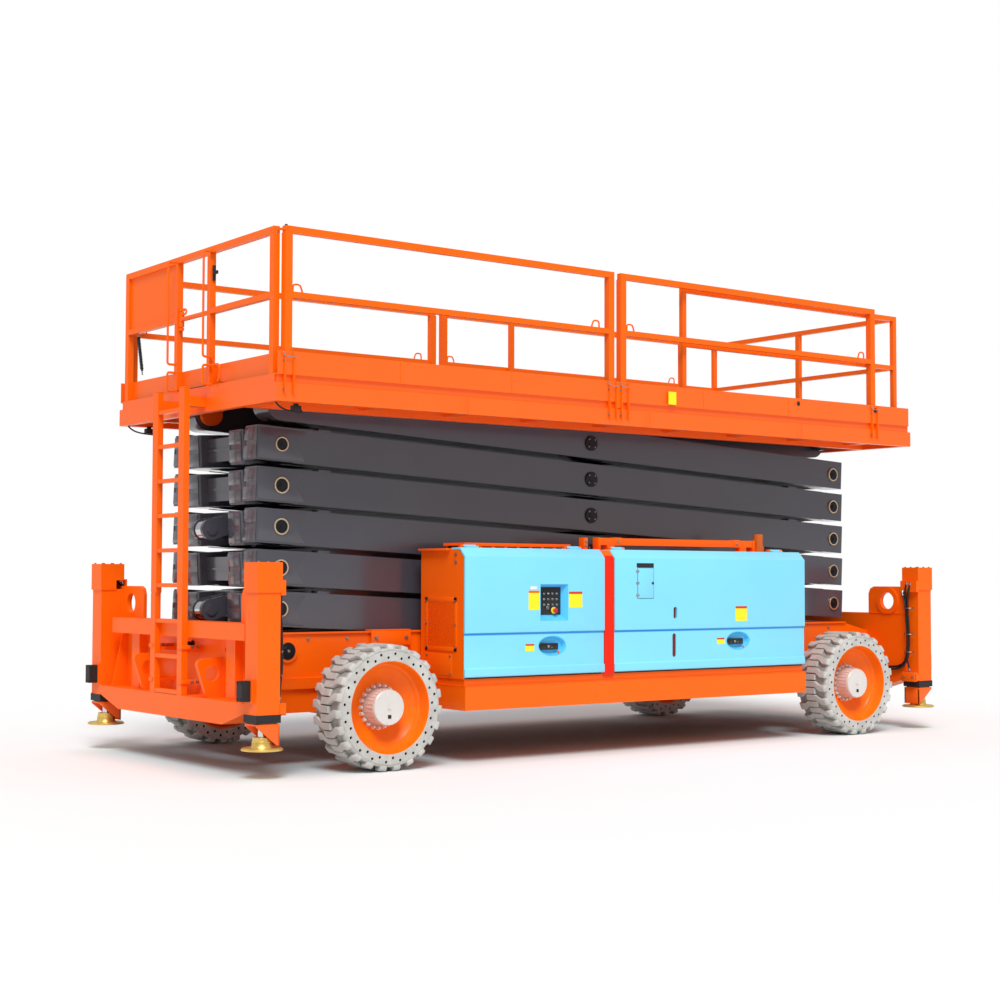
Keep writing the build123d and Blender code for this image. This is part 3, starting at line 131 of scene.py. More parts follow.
class Paint:
    """One material's node tree with its Object coordinates ready."""

    def __init__(self, name):
        self.mat = bpy.data.materials.new(name)
        self.mat.use_nodes = True
        self.tree = self.mat.node_tree
        self.tree.nodes.clear()
        self.out = self.node("ShaderNodeOutputMaterial")
        self.shader = self.node("ShaderNodeBsdfPrincipled")
        self.tree.links.new(self.shader.outputs[0], self.out.inputs["Surface"])
        coord = self.node("ShaderNodeTexCoord")
        self.co = coord.outputs["Object"]
        split = self.node("ShaderNodeSeparateXYZ", links={0: self.co})
        self.x, self.y, self.z = (Ex(self.tree, s) for s in split.outputs)
        geo = self.node("ShaderNodeNewGeometry")
        self.normal = geo.outputs["Normal"]

    def node(self, kind, settings=None, links=None):
        n = self.tree.nodes.new(kind)
        for k, v in (settings or {}).items():
            setattr(n, k, v)
        for k, v in (links or {}).items():
            if isinstance(v, Ex):
                v = v.value
            if isinstance(v, bpy.types.NodeSocket):
                self.tree.links.new(v, n.inputs[k])
            else:
                n.inputs[k].default_value = v
        return n

    def vec(self, x, y, z):
        """Object coordinates, scaled along each axis."""
        n = self.node("ShaderNodeMapping", links={"Vector": self.co, "Scale": (x, y, z)})
        return n.outputs[0]

    def noise(self, scale, detail=3.0, rough=0.55, where=None, warp=0.0):
        n = self.node("ShaderNodeTexNoise", links={
            "Vector": where or self.co, "Scale": scale, "Detail": detail, "Roughness": rough,
                                                   "Distortion": warp})
        return Ex(self.tree, n.outputs["Fac"])

    def mix(self, fac, a, b):
        """Colour a where fac is 0, b where it is 1."""
        n = self.node("ShaderNodeMix", {"data_type": "RGBA"})
        for i, v in ((0, fac), (6, a), (7, b)):
            v = v.value if isinstance(v, Ex) else v
            if isinstance(v, bpy.types.NodeSocket):
                self.tree.links.new(v, n.inputs[i])
            else:
                n.inputs[i].default_value = v
        return n.outputs[2]

    def put(self, name, v):
        v = v.value if isinstance(v, Ex) else v
        if isinstance(v, bpy.types.NodeSocket):
            self.tree.links.new(v, self.shader.inputs[name])
        else:
            self.shader.inputs[name].default_value = v

    def bump(self, height, depth, strength=1.0):
        n = self.node("ShaderNodeBump", links={"Height": height, "Distance": depth, "Strength": strength})
        self.put("Normal", n.outputs[0])

    def up(self):
        """How much the face looks upwards, 0 to 1."""
        s = self.node("ShaderNodeSeparateXYZ", links={0: self.normal})
        return Ex(self.tree, s.outputs[2])


def rgb(r, g, b):
    """A linear colour from 0 to 255 screen values."""
    def lin(c):
        c = c / 255.0
        return c / 12.92 if c <= 0.04045 else ((c + 0.055) / 1.055) ** 2.4
    return (lin(r), lin(g), lin(b), 1.0)


# Materials
def enamel(name, base, dark, dust, rough=0.3, dust_amount=0.35, low_dirt=0.0, peel=0.00012, coat=0.06,
           gloss=0.18, seam=None):
    """Sprayed machine enamel: orange peel, soft tone changes, dust on top faces, small scuffs, and an
    optional seam band of painted shade (a mask and its darker colour).
    """
    p = Paint(name)
    tone = p.noise(1.3, 4.0, 0.6)
    patch = p.noise(9.0, 5.0, 0.65)
    grain = p.noise(70.0, 2.0, 0.5)
    col = p.mix((tone - 0.35) * 1.6 * 0.5, base, dark)
    scuff = (p.noise(14.0, 8.0, 0.75, p.vec(1.0, 1.0, 3.0)) - 0.66).step(0.0, 0.05) * (grain - 0.45).step(0.0,
                                                                                                          0.2)
    col = p.mix(scuff * 0.35, col, dust)
    top = p.up().step(0.55, 0.95)
    film = (top * patch.step(0.35, 0.8) * dust_amount).clamp()
    col = p.mix(film, col, dust)
    if low_dirt:
        mud = (1.0 - p.z.step(0.2, 1.15)) * (p.noise(5.0, 7.0, 0.7) - 0.38).step(0.0, 0.3) * low_dirt
        col = p.mix(mud.clamp(), col, dust)
        film = film + mud
    # The seam band is painted shade or a painted shadow line: a darker colour laid over the enamel inside the
    # mask.
    if seam:
        col = p.mix(seam[0](p), col, seam[1])
    p.put("Base Color", col)
    p.put("Roughness", (film * 0.4 + scuff * 0.2 + (patch - 0.5) * 0.12 + rough).clamp())
    p.shader.inputs["Coat Roughness"].default_value = 0.12
    p.shader.inputs["Specular IOR Level"].default_value = gloss
    p.put("Coat Weight", ((1.0 - film * 1.2) * coat).clamp())
    p.bump(p.noise(420.0, 1.0, 0.4) * 0.6 + p.noise(55.0, 2.0, 0.5) * 0.9, peel)
    return p.mat


def rubber_grey():
    """Pale solid tyre rubber with dust, mould bloom, worn lug tops and painted shade inside the cooling
    holes.
    """
    p = Paint("tyre_rubber")
    dx = abs(p.x) - WHEEL_X
    dz = p.z - WHEEL_Z
    r = (dx * dx + dz * dz).sqrt()
    blotch = p.noise(7.0, 6.0, 0.65)
    fine = p.noise(60.0, 4.0, 0.6)
    col = p.mix(blotch.step(0.3, 0.75), rgb(184, 183, 178), rgb(210, 209, 205))
    root = 1.0 - r.step(0.444, 0.462)
    tread = (abs(p.y)).step(1.14, 1.17) * (1.0 - abs(p.y).step(1.44, 1.47))
    col = p.mix((root * tread * 0.6).clamp(), col, rgb(122, 119, 114))
    col = p.mix(((fine - 0.5).step(0.0, 0.25) * 0.25).clamp(), col, rgb(158, 154, 147))
    col = p.mix((r.step(0.466, 0.473) * 0.3).clamp(), col, rgb(166, 158, 152))
    # Painted shade: the walls of the cooling holes and the bore against the rim are painted near-black brown.
    off = abs(abs(p.y) - WHEEL_Y)
    inside = (1.0 - off.step(0.166, 0.171)) * (1.0 - r.step(0.430, 0.432))
    p.put("Base Color", p.mix(inside, col, rgb(38, 30, 24)))
    p.put("Roughness", (fine * 0.2 + 0.68).clamp())
    p.shader.inputs["Specular IOR Level"].default_value = 0.35
    p.bump(fine * 0.7 + p.noise(240.0, 3.0, 0.6) * 0.3, 0.0007)
    return p.mat


def rim_paint():
    """Orange rim with a silver hub case and studs in the middle."""
    p = Paint("rim_paint")
    dx = abs(p.x) - WHEEL_X
    dz = p.z - WHEEL_Z
    r = (dx * dx + dz * dz).sqrt()
    blotch = p.noise(11.0, 6.0, 0.7)
    fine = p.noise(90.0, 4.0, 0.6)
    hub = 1.0 - r.step(0.1435, 0.1455)
    orange = p.mix(blotch.step(0.3, 0.8), rgb(255, 118, 2), rgb(255, 106, 0))
    dust = (r.step(0.24, 0.34) * (fine - 0.42).step(0.0,
                                                    0.3) * (1.0 - abs(p.y).step(1.44, 1.482)) * 0.12).clamp()
    orange = p.mix(dust, orange, rgb(196, 150, 112))
    silver = p.mix(fine.step(0.35, 0.7), rgb(226, 222, 218), rgb(200, 196, 190))
    silver = p.mix((blotch.step(0.55, 0.75) * 0.35).clamp(), silver, rgb(150, 140, 122))
    p.put("Base Color", p.mix(hub, orange, silver))
    p.put("Roughness", (0.3 + dust + hub * 0.12 + (fine - 0.5) * 0.1).clamp())
    p.put("Metallic", hub * 0.2)
    p.shader.inputs["Specular IOR Level"].default_value = 0.25
    p.bump(fine * 0.6 + blotch * 0.3, 0.0003)
    return p.mat


def leg_paint():
    """Orange shroud, chromed stub below it and a yellow zinc foot."""
    p = Paint("leg_paint")
    fine = p.noise(60.0, 4.0, 0.6)
    blotch = p.noise(10.0, 5.0, 0.65)
    dx = abs(p.x) - LEG[0]
    dy = abs(p.y) - LEG[1]
    r = (dx * dx + dy * dy).sqrt()
    pad = 1.0 - p.z.step(0.2385, 0.2392)
    hub = (1.0 - r.step(0.0752, 0.0757)) * (1.0 - p.z.step(0.3006, 0.3012))
    zinc = pad.most(hub)
    bare = zinc.most((1.0 - r.step(0.0302, 0.0308)) * (1.0 - p.z.step(0.3825, 0.3835)))
    orange = p.mix((blotch * 0.6).clamp(), MAIN["orange"], rgb(252, 92, 2))
    gold = p.mix(blotch.step(0.3, 0.75), rgb(240, 210, 118), rgb(214, 176, 96))
    gold = p.mix(((fine - 0.55).step(0.0, 0.2) * 0.5).clamp(), gold, rgb(168, 140, 96))
    col = p.mix(bare, orange, rgb(214, 215, 218))
    p.put("Base Color", p.mix(zinc, col, gold))
    p.put("Metallic", (bare * 0.95 - zinc * 0.2).clamp())
    p.put("Roughness", ((1.0 - bare) * 0.34 + (bare - zinc) * 0.12 + zinc * 0.36
                         + (fine - 0.5) * 0.12).clamp())
    p.bump(fine * 0.6 + blotch * 0.3, 0.0002)
    return p.mat


def metal(name, light, dark, rough, metallic=1.0, scale=40.0, bump=0.0001):
    """Machined, plated or bare metal with fine tone changes."""
    p = Paint(name)
    a = p.noise(scale, 5.0, 0.65, p.vec(1.0, 1.0, 1.0))
    b = p.noise(scale * 0.17, 3.0, 0.5)
    p.put("Base Color", p.mix((a * 0.6 + b * 0.6 - 0.1).clamp(), light, dark))
    p.put("Roughness", (rough + (a - 0.5) * 0.3).clamp())
    p.shader.inputs["Metallic"].default_value = metallic
    p.bump(a, bump)
    return p.mat


def plastic(name, base, dust, rough=0.45, grain=0.00025):
    """Moulded rubber or plastic with a fine grain and a little dust."""
    p = Paint(name)
    a = p.noise(260.0, 2.0, 0.5)
    b = p.noise(18.0, 5.0, 0.65)
    film = (p.up().step(0.5, 0.95) * b.step(0.4, 0.8) * 0.35 + (b - 0.55).step(0.0, 0.2) * 0.08).clamp()
    p.put("Base Color", p.mix(film, base, dust))
    p.put("Roughness", (rough + film * 0.4 + (a - 0.5) * 0.1).clamp())
    p.bump(a, grain)
    return p.mat


def tread_plate():
    """Orange deck frame whose walked-on plate has raised lozenges in alternating rows."""
    p = Paint("tread_plate")
    size = 0.03
    u = (p.x + p.y) * (0.7071 / size)
    v = (p.x - p.y) * (0.7071 / size)
    odd = ((u._math("FLOOR", u) + v._math("FLOOR", v)).wrap(2.0)) > 0.5
    fu = u.wrap(1.0) - 0.5
    fv = v.wrap(1.0) - 0.5
    def lozenge(a, b):
        return 1.0 - (a * a * 5.5 + b * b * 42.0).step(0.55, 1.0)
    h = lozenge(fu, fv) * odd + lozenge(fv, fu) * (1.0 - odd)
    top = p.up().step(0.6, 0.9) * p.z.step(2.905, 2.909) * (1.0 - abs(p.y).step(1.352, 1.354))
    h = h * top
    wear = p.noise(2.2, 6.0, 0.65)
    fine = p.noise(60.0, 4.0, 0.6)
    col = p.mix((wear.step(0.35, 0.7) * 0.6).clamp(), rgb(120, 121, 124), rgb(92, 92, 93))
    col = p.mix((h * 0.5).clamp(), col, rgb(176, 177, 180))
    col = p.mix((top * (fine - 0.48).step(0.0, 0.25) * 0.3).clamp(), col, rgb(150, 141, 126))
    side = p.mix((wear * 0.6).clamp(), MAIN["orange"], rgb(252, 92, 2))
    p.put("Base Color", p.mix(top, side, col))
    p.put("Metallic", top * 0.6)
    p.put("Roughness", (0.36 + top * 0.14 - h * 0.16 + (fine - 0.5) * (0.08 + top * 0.17)).clamp())
    p.bump(h + fine * 0.03, 0.0015)
    return p.mat


def blank_label(name, ground, worn):
    """A blank weatherproof sticker, a little faded in patches."""
    p = Paint(name)
    a = p.noise(35.0, 4.0, 0.6)
    p.put("Base Color", p.mix((a.step(0.45, 0.8) * 0.25).clamp(), ground, worn))
    p.put("Roughness", (0.35 + (a - 0.5) * 0.2).clamp())
    p.bump(a, 0.00005)
    return p.mat


def lens():
    """Amber beacon lens with moulded ribs."""
    p = Paint("amber_lens")
    dx = p.x - 1.64
    dy = p.y + 1.12
    ang = dy.turn(dx)
    rib = (ang * (24.0 / math.tau)).wrap(1.0)
    ribs = abs(rib - 0.5) * 2.0
    p.put("Base Color", p.mix(ribs, rgb(255, 140, 20), rgb(214, 84, 6)))
    p.put("Roughness", 0.12 + ribs * 0.1)
    p.shader.inputs["Transmission Weight"].default_value = 0.25
    p.bump(ribs, 0.002)
    return p.mat


MATS = {}
MAIN = {}


def make_materials(s):
    """Every finish, by the name that the pieces ask for."""
    orange = rgb(*(round(c * 255) for c in s.orange))
    MAIN["orange"] = orange
    MATS["orange"] = enamel("orange_enamel", orange, rgb(254, 96, 2), rgb(236, 156, 100), 0.36, 0.12, 0.03)
    MATS["orange_low"] = enamel("orange_enamel_low", orange, rgb(252, 92, 2), rgb(200, 130, 84), 0.38, 0.22,
                                0.08)
    MATS["grey"] = enamel("arm_enamel", rgb(72, 73, 82), rgb(60, 61, 70), rgb(128, 128, 130), 0.24, 0.3, 0.0,
                          0.0002, 0.6, 0.5)
    # Painted shade: the handle bowls and the control recess get a deeper, more saturated copy of the door
    # blue, as if in shade.
    MATS["bowl"] = enamel("bowl_enamel_painted_shade", rgb(84, 200, 255), rgb(74, 190, 250), rgb(206, 226, 228), 0.3, 0.1,
                          0.0, 0.00012, 0.2, 0.3)
    # Painted shade: dark red sheets behind the door slots stand in for the shaded orange inside the cabinet.
    MATS["slot"] = plastic("slot_backing_painted_shade", rgb(112, 24, 15), rgb(70, 30, 24))
    # Painted shadow: a deeper blue line along the top of the pressed-in band, where the upper panel casts its
    # shadow on it.
    MATS["blue"] = enamel("door_enamel_painted_shadow", rgb(134, 222, 250), rgb(122, 212, 246), rgb(206, 226, 228), 0.3, 0.2,
                          0.06, 0.00012, 0.2, 0.3,
                          (lambda p: p.z.step(0.988, 0.994) * (1.0 - p.z.step(1.006, 1.009))
                           * abs(p.y).step(1.43, 1.44), rgb(30, 150, 235)))
    MATS["tyre"] = rubber_grey()
    MATS["rim"] = rim_paint()
    MATS["leg"] = leg_paint()
    MATS["rubber"] = plastic("black_rubber", rgb(24, 24, 25), rgb(104, 98, 90), 0.6)
    MATS["panel"] = plastic("black_panel", rgb(20, 20, 22), rgb(90, 88, 84), 0.35)
    MATS["hose"] = plastic("hose_rubber", rgb(16, 16, 17), rgb(80, 76, 72), 0.5)
    MATS["red"] = plastic("red_plastic", rgb(206, 22, 16), rgb(180, 120, 110), 0.3)
    MATS["brass"] = metal("brass_ring", rgb(238, 218, 186), rgb(196, 172, 134), 0.3, 0.8)
    MATS["hub"] = metal("hub_paint", rgb(232, 228, 224), rgb(212, 208, 202), 0.4, 0.15)
    MATS["steel"] = metal("bare_steel", rgb(196, 196, 196), rgb(140, 140, 142), 0.34)
    MATS["bolt"] = metal("zinc_bolt", rgb(186, 184, 176), rgb(120, 118, 112), 0.38, 0.9)
    MATS["dark_bolt"] = metal("dark_bolt", rgb(52, 52, 56), rgb(30, 30, 33), 0.42, 0.8)
    MATS["chrome"] = metal("chrome_rod", rgb(216, 217, 220), rgb(190, 191, 196), 0.1, 1.0, 14.0, 0.00002)
    MATS["deck_edge"] = tread_plate()
    # Painted shade: the orange strip between the doors is painted deep red, as if in shade between them.
    MATS["cabinet"] = enamel("cabinet_enamel_painted_shade", orange, rgb(254, 96, 2), rgb(236, 156, 100), 0.36, 0.12, 0.03,
                             seam=(
        lambda p: (1.0 - abs(p.x + 0.425).step(0.058, 0.060)) * abs(p.y).step(1.438, 1.442)
        * p.z.step(0.616, 0.618), rgb(250, 34, 0)))
    MATS["yellow"] = blank_label("yellow_label", rgb(255, 236, 18), rgb(248, 226, 16))
    MATS["paper"] = blank_label("white_label", rgb(240, 240, 236), rgb(224, 224, 220))
    MATS["redband"] = blank_label("red_label", rgb(214, 44, 30), rgb(196, 36, 26))
    MATS["lens"] = lens()


# Modelling steps
def none_picked():
    """Nothing stays selected."""
    bpy.ops.object.select_all(action="DESELECT")


def only(o):
    """One object selected and active."""
    none_picked()
    o.select_set(True)
    bpy.context.view_layer.objects.active = o
    return o


def settle(o):
    """Place, turn and size go into the mesh."""
    only(o)
    bpy.ops.object.transform_apply(location=True, rotation=True, scale=True)
    return o


def made(name, verts, edges, faces):
    """A new mesh object, picked and active."""
    mesh = bpy.data.meshes.new(name)
    mesh.from_pydata(verts, edges, faces)
    o = bpy.data.objects.new(name, mesh)
    bpy.context.collection.objects.link(o)
    return only(o)


def outward(o):
    """Turns every face of a closed mesh outwards."""
    only(o)
    bpy.ops.object.mode_set(mode="EDIT")
    bpy.ops.mesh.select_all(action="SELECT")
    bpy.ops.mesh.normals_make_consistent(inside=False)
    bpy.ops.object.mode_set(mode="OBJECT")
    return o


def carved(o, cutter):
    """The piece less the cutter."""
    cut = o.modifiers.new("cut", "BOOLEAN")
    cut.operation = "DIFFERENCE"
    cut.solver = "EXACT"
    cut.object = cutter
    only(o)
    bpy.ops.object.modifier_apply(modifier="cut")
    bpy.data.objects.remove(cutter)
    return o


def around(count, r, shift=0.0):
    """Places spaced evenly round a circle."""
    turns = [math.tau * (i + shift) / count for i in range(count)]
    return [(r * math.cos(a), r * math.sin(a)) for a in turns]


def soften(o, width, segments=2, angle=35.0):
    """A bevel on the sharp edges, applied."""
    m = o.modifiers.new("edge", "BEVEL")
    m.width = width
    m.segments = segments
    m.limit_method = "ANGLE"
    m.angle_limit = math.radians(angle)
    only(o)
    bpy.ops.object.modifier_apply(modifier=m.name)
    return o


def slab(x0, x1, y0, y1, z0, z1, edge=0.003, segments=2):
    """A bevelled block between two corners."""
    none_picked()
    bpy.ops.mesh.primitive_cube_add(size=1.0, location=((x0 + x1) / 2, (y0 + y1) / 2, (z0 + z1) / 2),
                                    scale=(abs(x1 - x0), abs(y1 - y0), abs(z1 - z0)))
    o = settle(bpy.context.object)
    return soften(o, edge, segments) if edge else o


def aim(direction):
    """Euler turn that takes +Z to a direction."""
    return Vector(direction).to_track_quat("Z", "Y").to_euler()


def disc(centre, direction, r, depth, verts=24, edge=0.0015, hole=0.0):
    """A short bevelled cylinder whose base is at centre."""
    d = Vector(direction).normalized()
    none_picked()
    bpy.ops.mesh.primitive_cylinder_add(vertices=verts, radius=r, depth=depth,
                                        location=Vector(centre) + d * depth / 2, rotation=aim(d))
    o = bpy.context.object
    if hole:
        bpy.ops.object.mode_set(mode="EDIT")
        bpy.ops.mesh.select_all(action="DESELECT")
        bpy.ops.object.mode_set(mode="OBJECT")
        for f in o.data.polygons:
            f.select = f.normal.z > 0.9
        bpy.ops.object.mode_set(mode="EDIT")
        bpy.ops.mesh.inset(thickness=r - hole)
        bpy.ops.transform.translate(value=-d * depth * 0.75)
        bpy.ops.object.mode_set(mode="OBJECT")
    settle(o)
    return soften(o, edge, 1, 50.0) if edge else o


def bolt(centre, direction, r=0.012, washer=True):
    """A hexagon head on its washer."""
    d = Vector(direction).normalized()
    parts = []
    base = Vector(centre)
    if washer:
        parts.append(disc(base, d, r * 1.35, r * 0.22, 16, 0.0))
        base = base + d * r * 0.22
    parts.append(disc(base, d, r, r * 0.75, 6, r * 0.12))
    return joined(parts)


def joined(parts):
    """Several meshes as one."""
    none_picked()
    for o in parts:
        o.select_set(True)
    bpy.context.view_layer.objects.active = parts[0]
    if len(parts) > 1:
        bpy.ops.object.join()
    return bpy.context.object


def again(o, moves):
    """The piece and a copy of it at each matrix."""
    out = [o]
    for m in moves:
        c = o.copy()
        c.data = o.data.copy()
        bpy.context.collection.objects.link(c)
        c.data.transform(m)
        if m.determinant() < 0.0:
            c.data.flip_normals()
        out.append(c)
    return joined(out)


def mirrored(o, axis="Y"):
    """The piece and its mirror image about the machine's middle."""
    m = Matrix.Scale(-1.0, 4, Vector((1, 0, 0) if axis == "X" else (0, 1, 0)))
    return again(o, [m])


def bent(points, r, verts=10, closed=False):
    """A round bar or tube bent through points."""
    curve = bpy.data.curves.new("bent", "CURVE")
    curve.dimensions = "3D"
    curve.bevel_depth = r
    curve.bevel_resolution = max(1, verts // 4)
    curve.resolution_u = 5
    curve.use_fill_caps = not closed
    s = curve.splines.new("NURBS")
    s.points.add(len(points) - 1)
    for q, co in zip(s.points, points):
        q.co = (*co, 1.0)
    s.order_u = 3
    s.use_endpoint_u = not closed
    s.use_cyclic_u = closed
    o = bpy.data.objects.new("bent", curve)
    bpy.context.collection.objects.link(o)
    only(o)
    bpy.ops.object.convert(target="MESH")
    return bpy.context.object


def wire(points, r, verts=8):
    """A straight-run round bar through points, with a ball at every point after the first."""
    parts = []
    for a, b in zip(points, points[1:]):
        a, b = Vector(a), Vector(b)
        parts.append(disc(a, b - a, r, (b - a).length, verts, 0.0))
        none_picked()
        bpy.ops.mesh.primitive_uv_sphere_add(segments=verts, ring_count=max(4, verts // 2), radius=r,
                                             location=b)
        parts.append(settle(bpy.context.object))
    return joined(parts)


def outline_plate(points, axis, low, high, edge=0.002):
    """A plate whose outline is in the two other axes, from low to high on one axis."""
    def co(p, w):
        return {"X": (w, p[0], p[1]), "Y": (p[0], w, p[1]), "Z": (p[0], p[1], w)}[axis]
    o = made("plate", [co(p, low) for p in points], [], [list(range(len(points)))])
    bpy.ops.object.mode_set(mode="EDIT")
    bpy.ops.mesh.select_all(action="SELECT")
    way = {"X": (high - low, 0, 0), "Y": (0, high - low, 0), "Z": (0, 0, high - low)}[axis]
    bpy.ops.mesh.extrude_region_move(TRANSFORM_OT_translate={"value": way})
    bpy.ops.object.mode_set(mode="OBJECT")
    outward(o)
    return soften(o, edge) if edge else o


def finish(o, name, mat, body, angle=32.0):
    """Names a piece, shades it, gives it its material and its body."""
    o.name = name
    o.data.name = name
    only(o)
    bpy.ops.object.shade_smooth_by_angle(angle=math.radians(angle))
    o.data.materials.clear()
    o.data.materials.append(MATS[mat])
    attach(o, body)
    return o


def dress(node, mat):
    """A carried-over CAD node gets a better material."""
    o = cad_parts[node]
    o.data.materials.clear()
    o.data.materials.append(MATS[mat])
    only(o)
    bpy.ops.object.shade_smooth_by_angle(angle=math.radians(30.0))
    return o


def pin_z(level):
    """Height of the pins at a level of the stack."""
    return LEVEL_0 + LEVEL * level


# Settings
class LiftLooks(bpy.types.PropertyGroup):
    """Colours and sizes that a user would change."""
    orange: bpy.props.FloatVectorProperty(name="Orange", description="Main enamel colour", subtype="COLOR",
                                          size=3, default=(1.0, 0.412, 0.02), min=0.0, max=1.0)
    lug_count: bpy.props.IntProperty(name="Lugs", description="Tread lugs in one row of a tyre", default=23,
                                     min=8, max=40)
    lug_height: bpy.props.FloatProperty(name="Lug height", description="Height of a tread lug", default=0.032,
                                        min=0.005, max=0.05, unit="LENGTH")
    lens_mm: bpy.props.FloatProperty(name="Lens", description="Focal length of the camera", default=61.21,
                                     min=20.0, max=200.0)
    sun: bpy.props.FloatProperty(name="Main light", description="Strength of the soft main light",
                                 default=2.45, min=0.0)
    sky: bpy.props.FloatProperty(name="Fill light", description="Strength of the light from all around",
                                 default=0.55, min=0.0)


def looks():
    """The settings in use."""
    return bpy.context.scene.lift_looks


# Finish of the CAD nodes whose name starts so; the rest are orange
NODE_FINISH = {
    "tyre": "tyre", "rim": "rim", "door": "blue", "cabinet": "cabinet", "inner_arms": "grey",
               "outer_arms": "grey",
    "wear_rings": "rubber", "bumper_pads": "rubber", "engine_block": "grey",
    "lower_cylinder_barrel": "grey", "upper_cylinder_barrel": "grey",
    "lower_cylinder_rod": "chrome", "upper_cylinder_rod": "chrome",
    "axle": "orange_low", "knuckle": "orange_low", "tie_rod": "orange_low", "chassis_frame": "orange_low",
    "end_frame": "orange_low", "outrigger_leg": "leg", "platform_deck": "deck_edge",
               "extension_floor": "deck_edge",
    "beacon": "lens", "control_box": "panel",
}


class Finishes(bpy.types.Operator):
    """Give every CAD node its finish"""
    bl_idname = "lift.finishes"
    bl_label = "Finishes"

    def execute(self, context):
        make_materials(looks())
        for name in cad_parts:
            dress(name, next((mat for start, mat in NODE_FINISH.items() if name.startswith(start)), "orange"))
        return {"FINISHED"}


class Stage(bpy.types.Operator):
    """Pale floor with a painted shadow under the machine, soft studio lights and the camera at the
    photograph's angle
    """
    bl_idname = "lift.stage"
    bl_label = "Stage"

    def execute(self, context):
        s = looks()
        scene = context.scene
        scene.view_settings.view_transform = "Standard"
        none_picked()
        bpy.ops.mesh.primitive_plane_add(size=160.0, location=(0, 0, -0.001))
        floor = bpy.context.object
        floor.name = "studio_floor_painted_shadow"
        p = Paint("studio_floor_painted_shadow")
        n = p.noise(0.4, 2.0, 0.5)
        # Painted shadow: the floor is painted darker and cooler under the machine.
        below = (1.0 - abs(p.x).step(3.3, 4.2)) * (1.0 - abs(p.y).step(0.9, 1.7))
        col = p.mix(n, (0.90, 0.90, 0.90, 1.0), (0.88, 0.88, 0.88, 1.0))
        p.put("Base Color", p.mix(below, col, (0.46, 0.60, 0.63, 1.0)))
        p.put("Roughness", 0.7 + n * 0.1)
        p.shader.inputs["Specular IOR Level"].default_value = 0.1
        floor.data.materials.append(p.mat)
        world = bpy.data.worlds.new("studio")
        scene.world = world
        world.use_nodes = True
        back = world.node_tree.nodes["Background"]
        back.inputs[0].default_value = (1, 1, 1, 1)
        back.inputs[1].default_value = s.sky
        seen = world.node_tree.nodes.new("ShaderNodeBackground")
        seen.inputs[0].default_value = (1, 1, 1, 1)
        seen.inputs[1].default_value = 1.0
        path = world.node_tree.nodes.new("ShaderNodeLightPath")
        pick = world.node_tree.nodes.new("ShaderNodeMixShader")
        link = world.node_tree.links.new
        link(path.outputs["Is Camera Ray"], pick.inputs[0])
        link(back.outputs[0], pick.inputs[1])
        link(seen.outputs[0], pick.inputs[2])
        link(pick.outputs[0], world.node_tree.nodes["World Output"].inputs["Surface"])
        none_picked()
        bpy.ops.object.light_add(type="SUN", location=(-4.0, -8.0, 12.0))
        sun = bpy.context.object
        sun.name = "soft_sun"
        sun.data.energy = s.sun
        sun.data.angle = math.radians(24.0)
        sun.rotation_euler = aim((-0.40, -0.62, 0.98))
        bpy.ops.object.camera_add(location=(-9.525, -12.129, 1.444))
        cam = bpy.context.object
        cam.name = "photo_camera"
        yaw, pitch, roll = (math.radians(a) for a in (36.77533, 2.59525, 0.1468))
        fw = Vector((math.sin(yaw) * math.cos(pitch), math.cos(yaw) * math.cos(pitch), math.sin(pitch)))
        rt = Vector((math.cos(yaw), -math.sin(yaw), 0.0))
        up = rt.cross(fw)
        r2 = rt * math.cos(roll) + up * math.sin(roll)
        u2 = up * math.cos(roll) - rt * math.sin(roll)
        turn = Matrix((r2, u2, -fw)).transposed()
        cam.rotation_euler = turn.to_euler()
        cam.data.lens = s.lens_mm
        cam.data.sensor_width = 36.0
        cam.data.sensor_fit = "HORIZONTAL"
        cam.data.clip_end = 500.0
        scene.camera = cam
        return {"FINISHED"}


def turned(profile, name, steps=96, upright=None):
    """A closed ring turned about the rear right axle from (radius, y) points, or about an upright line."""
    n = len(profile)
    centre, axis = ((WHEEL_X, 0, WHEEL_Z), (0, 1, 0)) if upright is None else ((*upright, 0), (0, 0, 1))
    points = [(WHEEL_X + r, y, WHEEL_Z) if upright is None else (upright[0] + r, upright[1], y) for r,
              y in profile]
    o = made(name, points, [(i, (i + 1) % n) for i in range(n)], [])
    bpy.ops.object.mode_set(mode="EDIT")
    bpy.ops.mesh.select_all(action="SELECT")
    bpy.ops.mesh.spin(steps=steps, angle=math.tau, center=centre, axis=axis)
    bpy.ops.mesh.select_all(action="SELECT")
    bpy.ops.mesh.remove_doubles(threshold=0.00005)
    bpy.ops.object.mode_set(mode="OBJECT")
    return outward(o)


def to_corners(src, name, mat, body, stands_for=None, angle=32.0):
    """The piece drawn at the rear right corner, at all four corners."""
    for end, sx in ENDS:
        for side, sy in SIDES:
            at = f"_{end}_{side}"
            c = finish(sided(src, sx, sy), name + at, mat, body if body == "chassis" else body + at,
                       angle)
            if stands_for:
                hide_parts(stands_for + at)
    bpy.data.objects.remove(src)


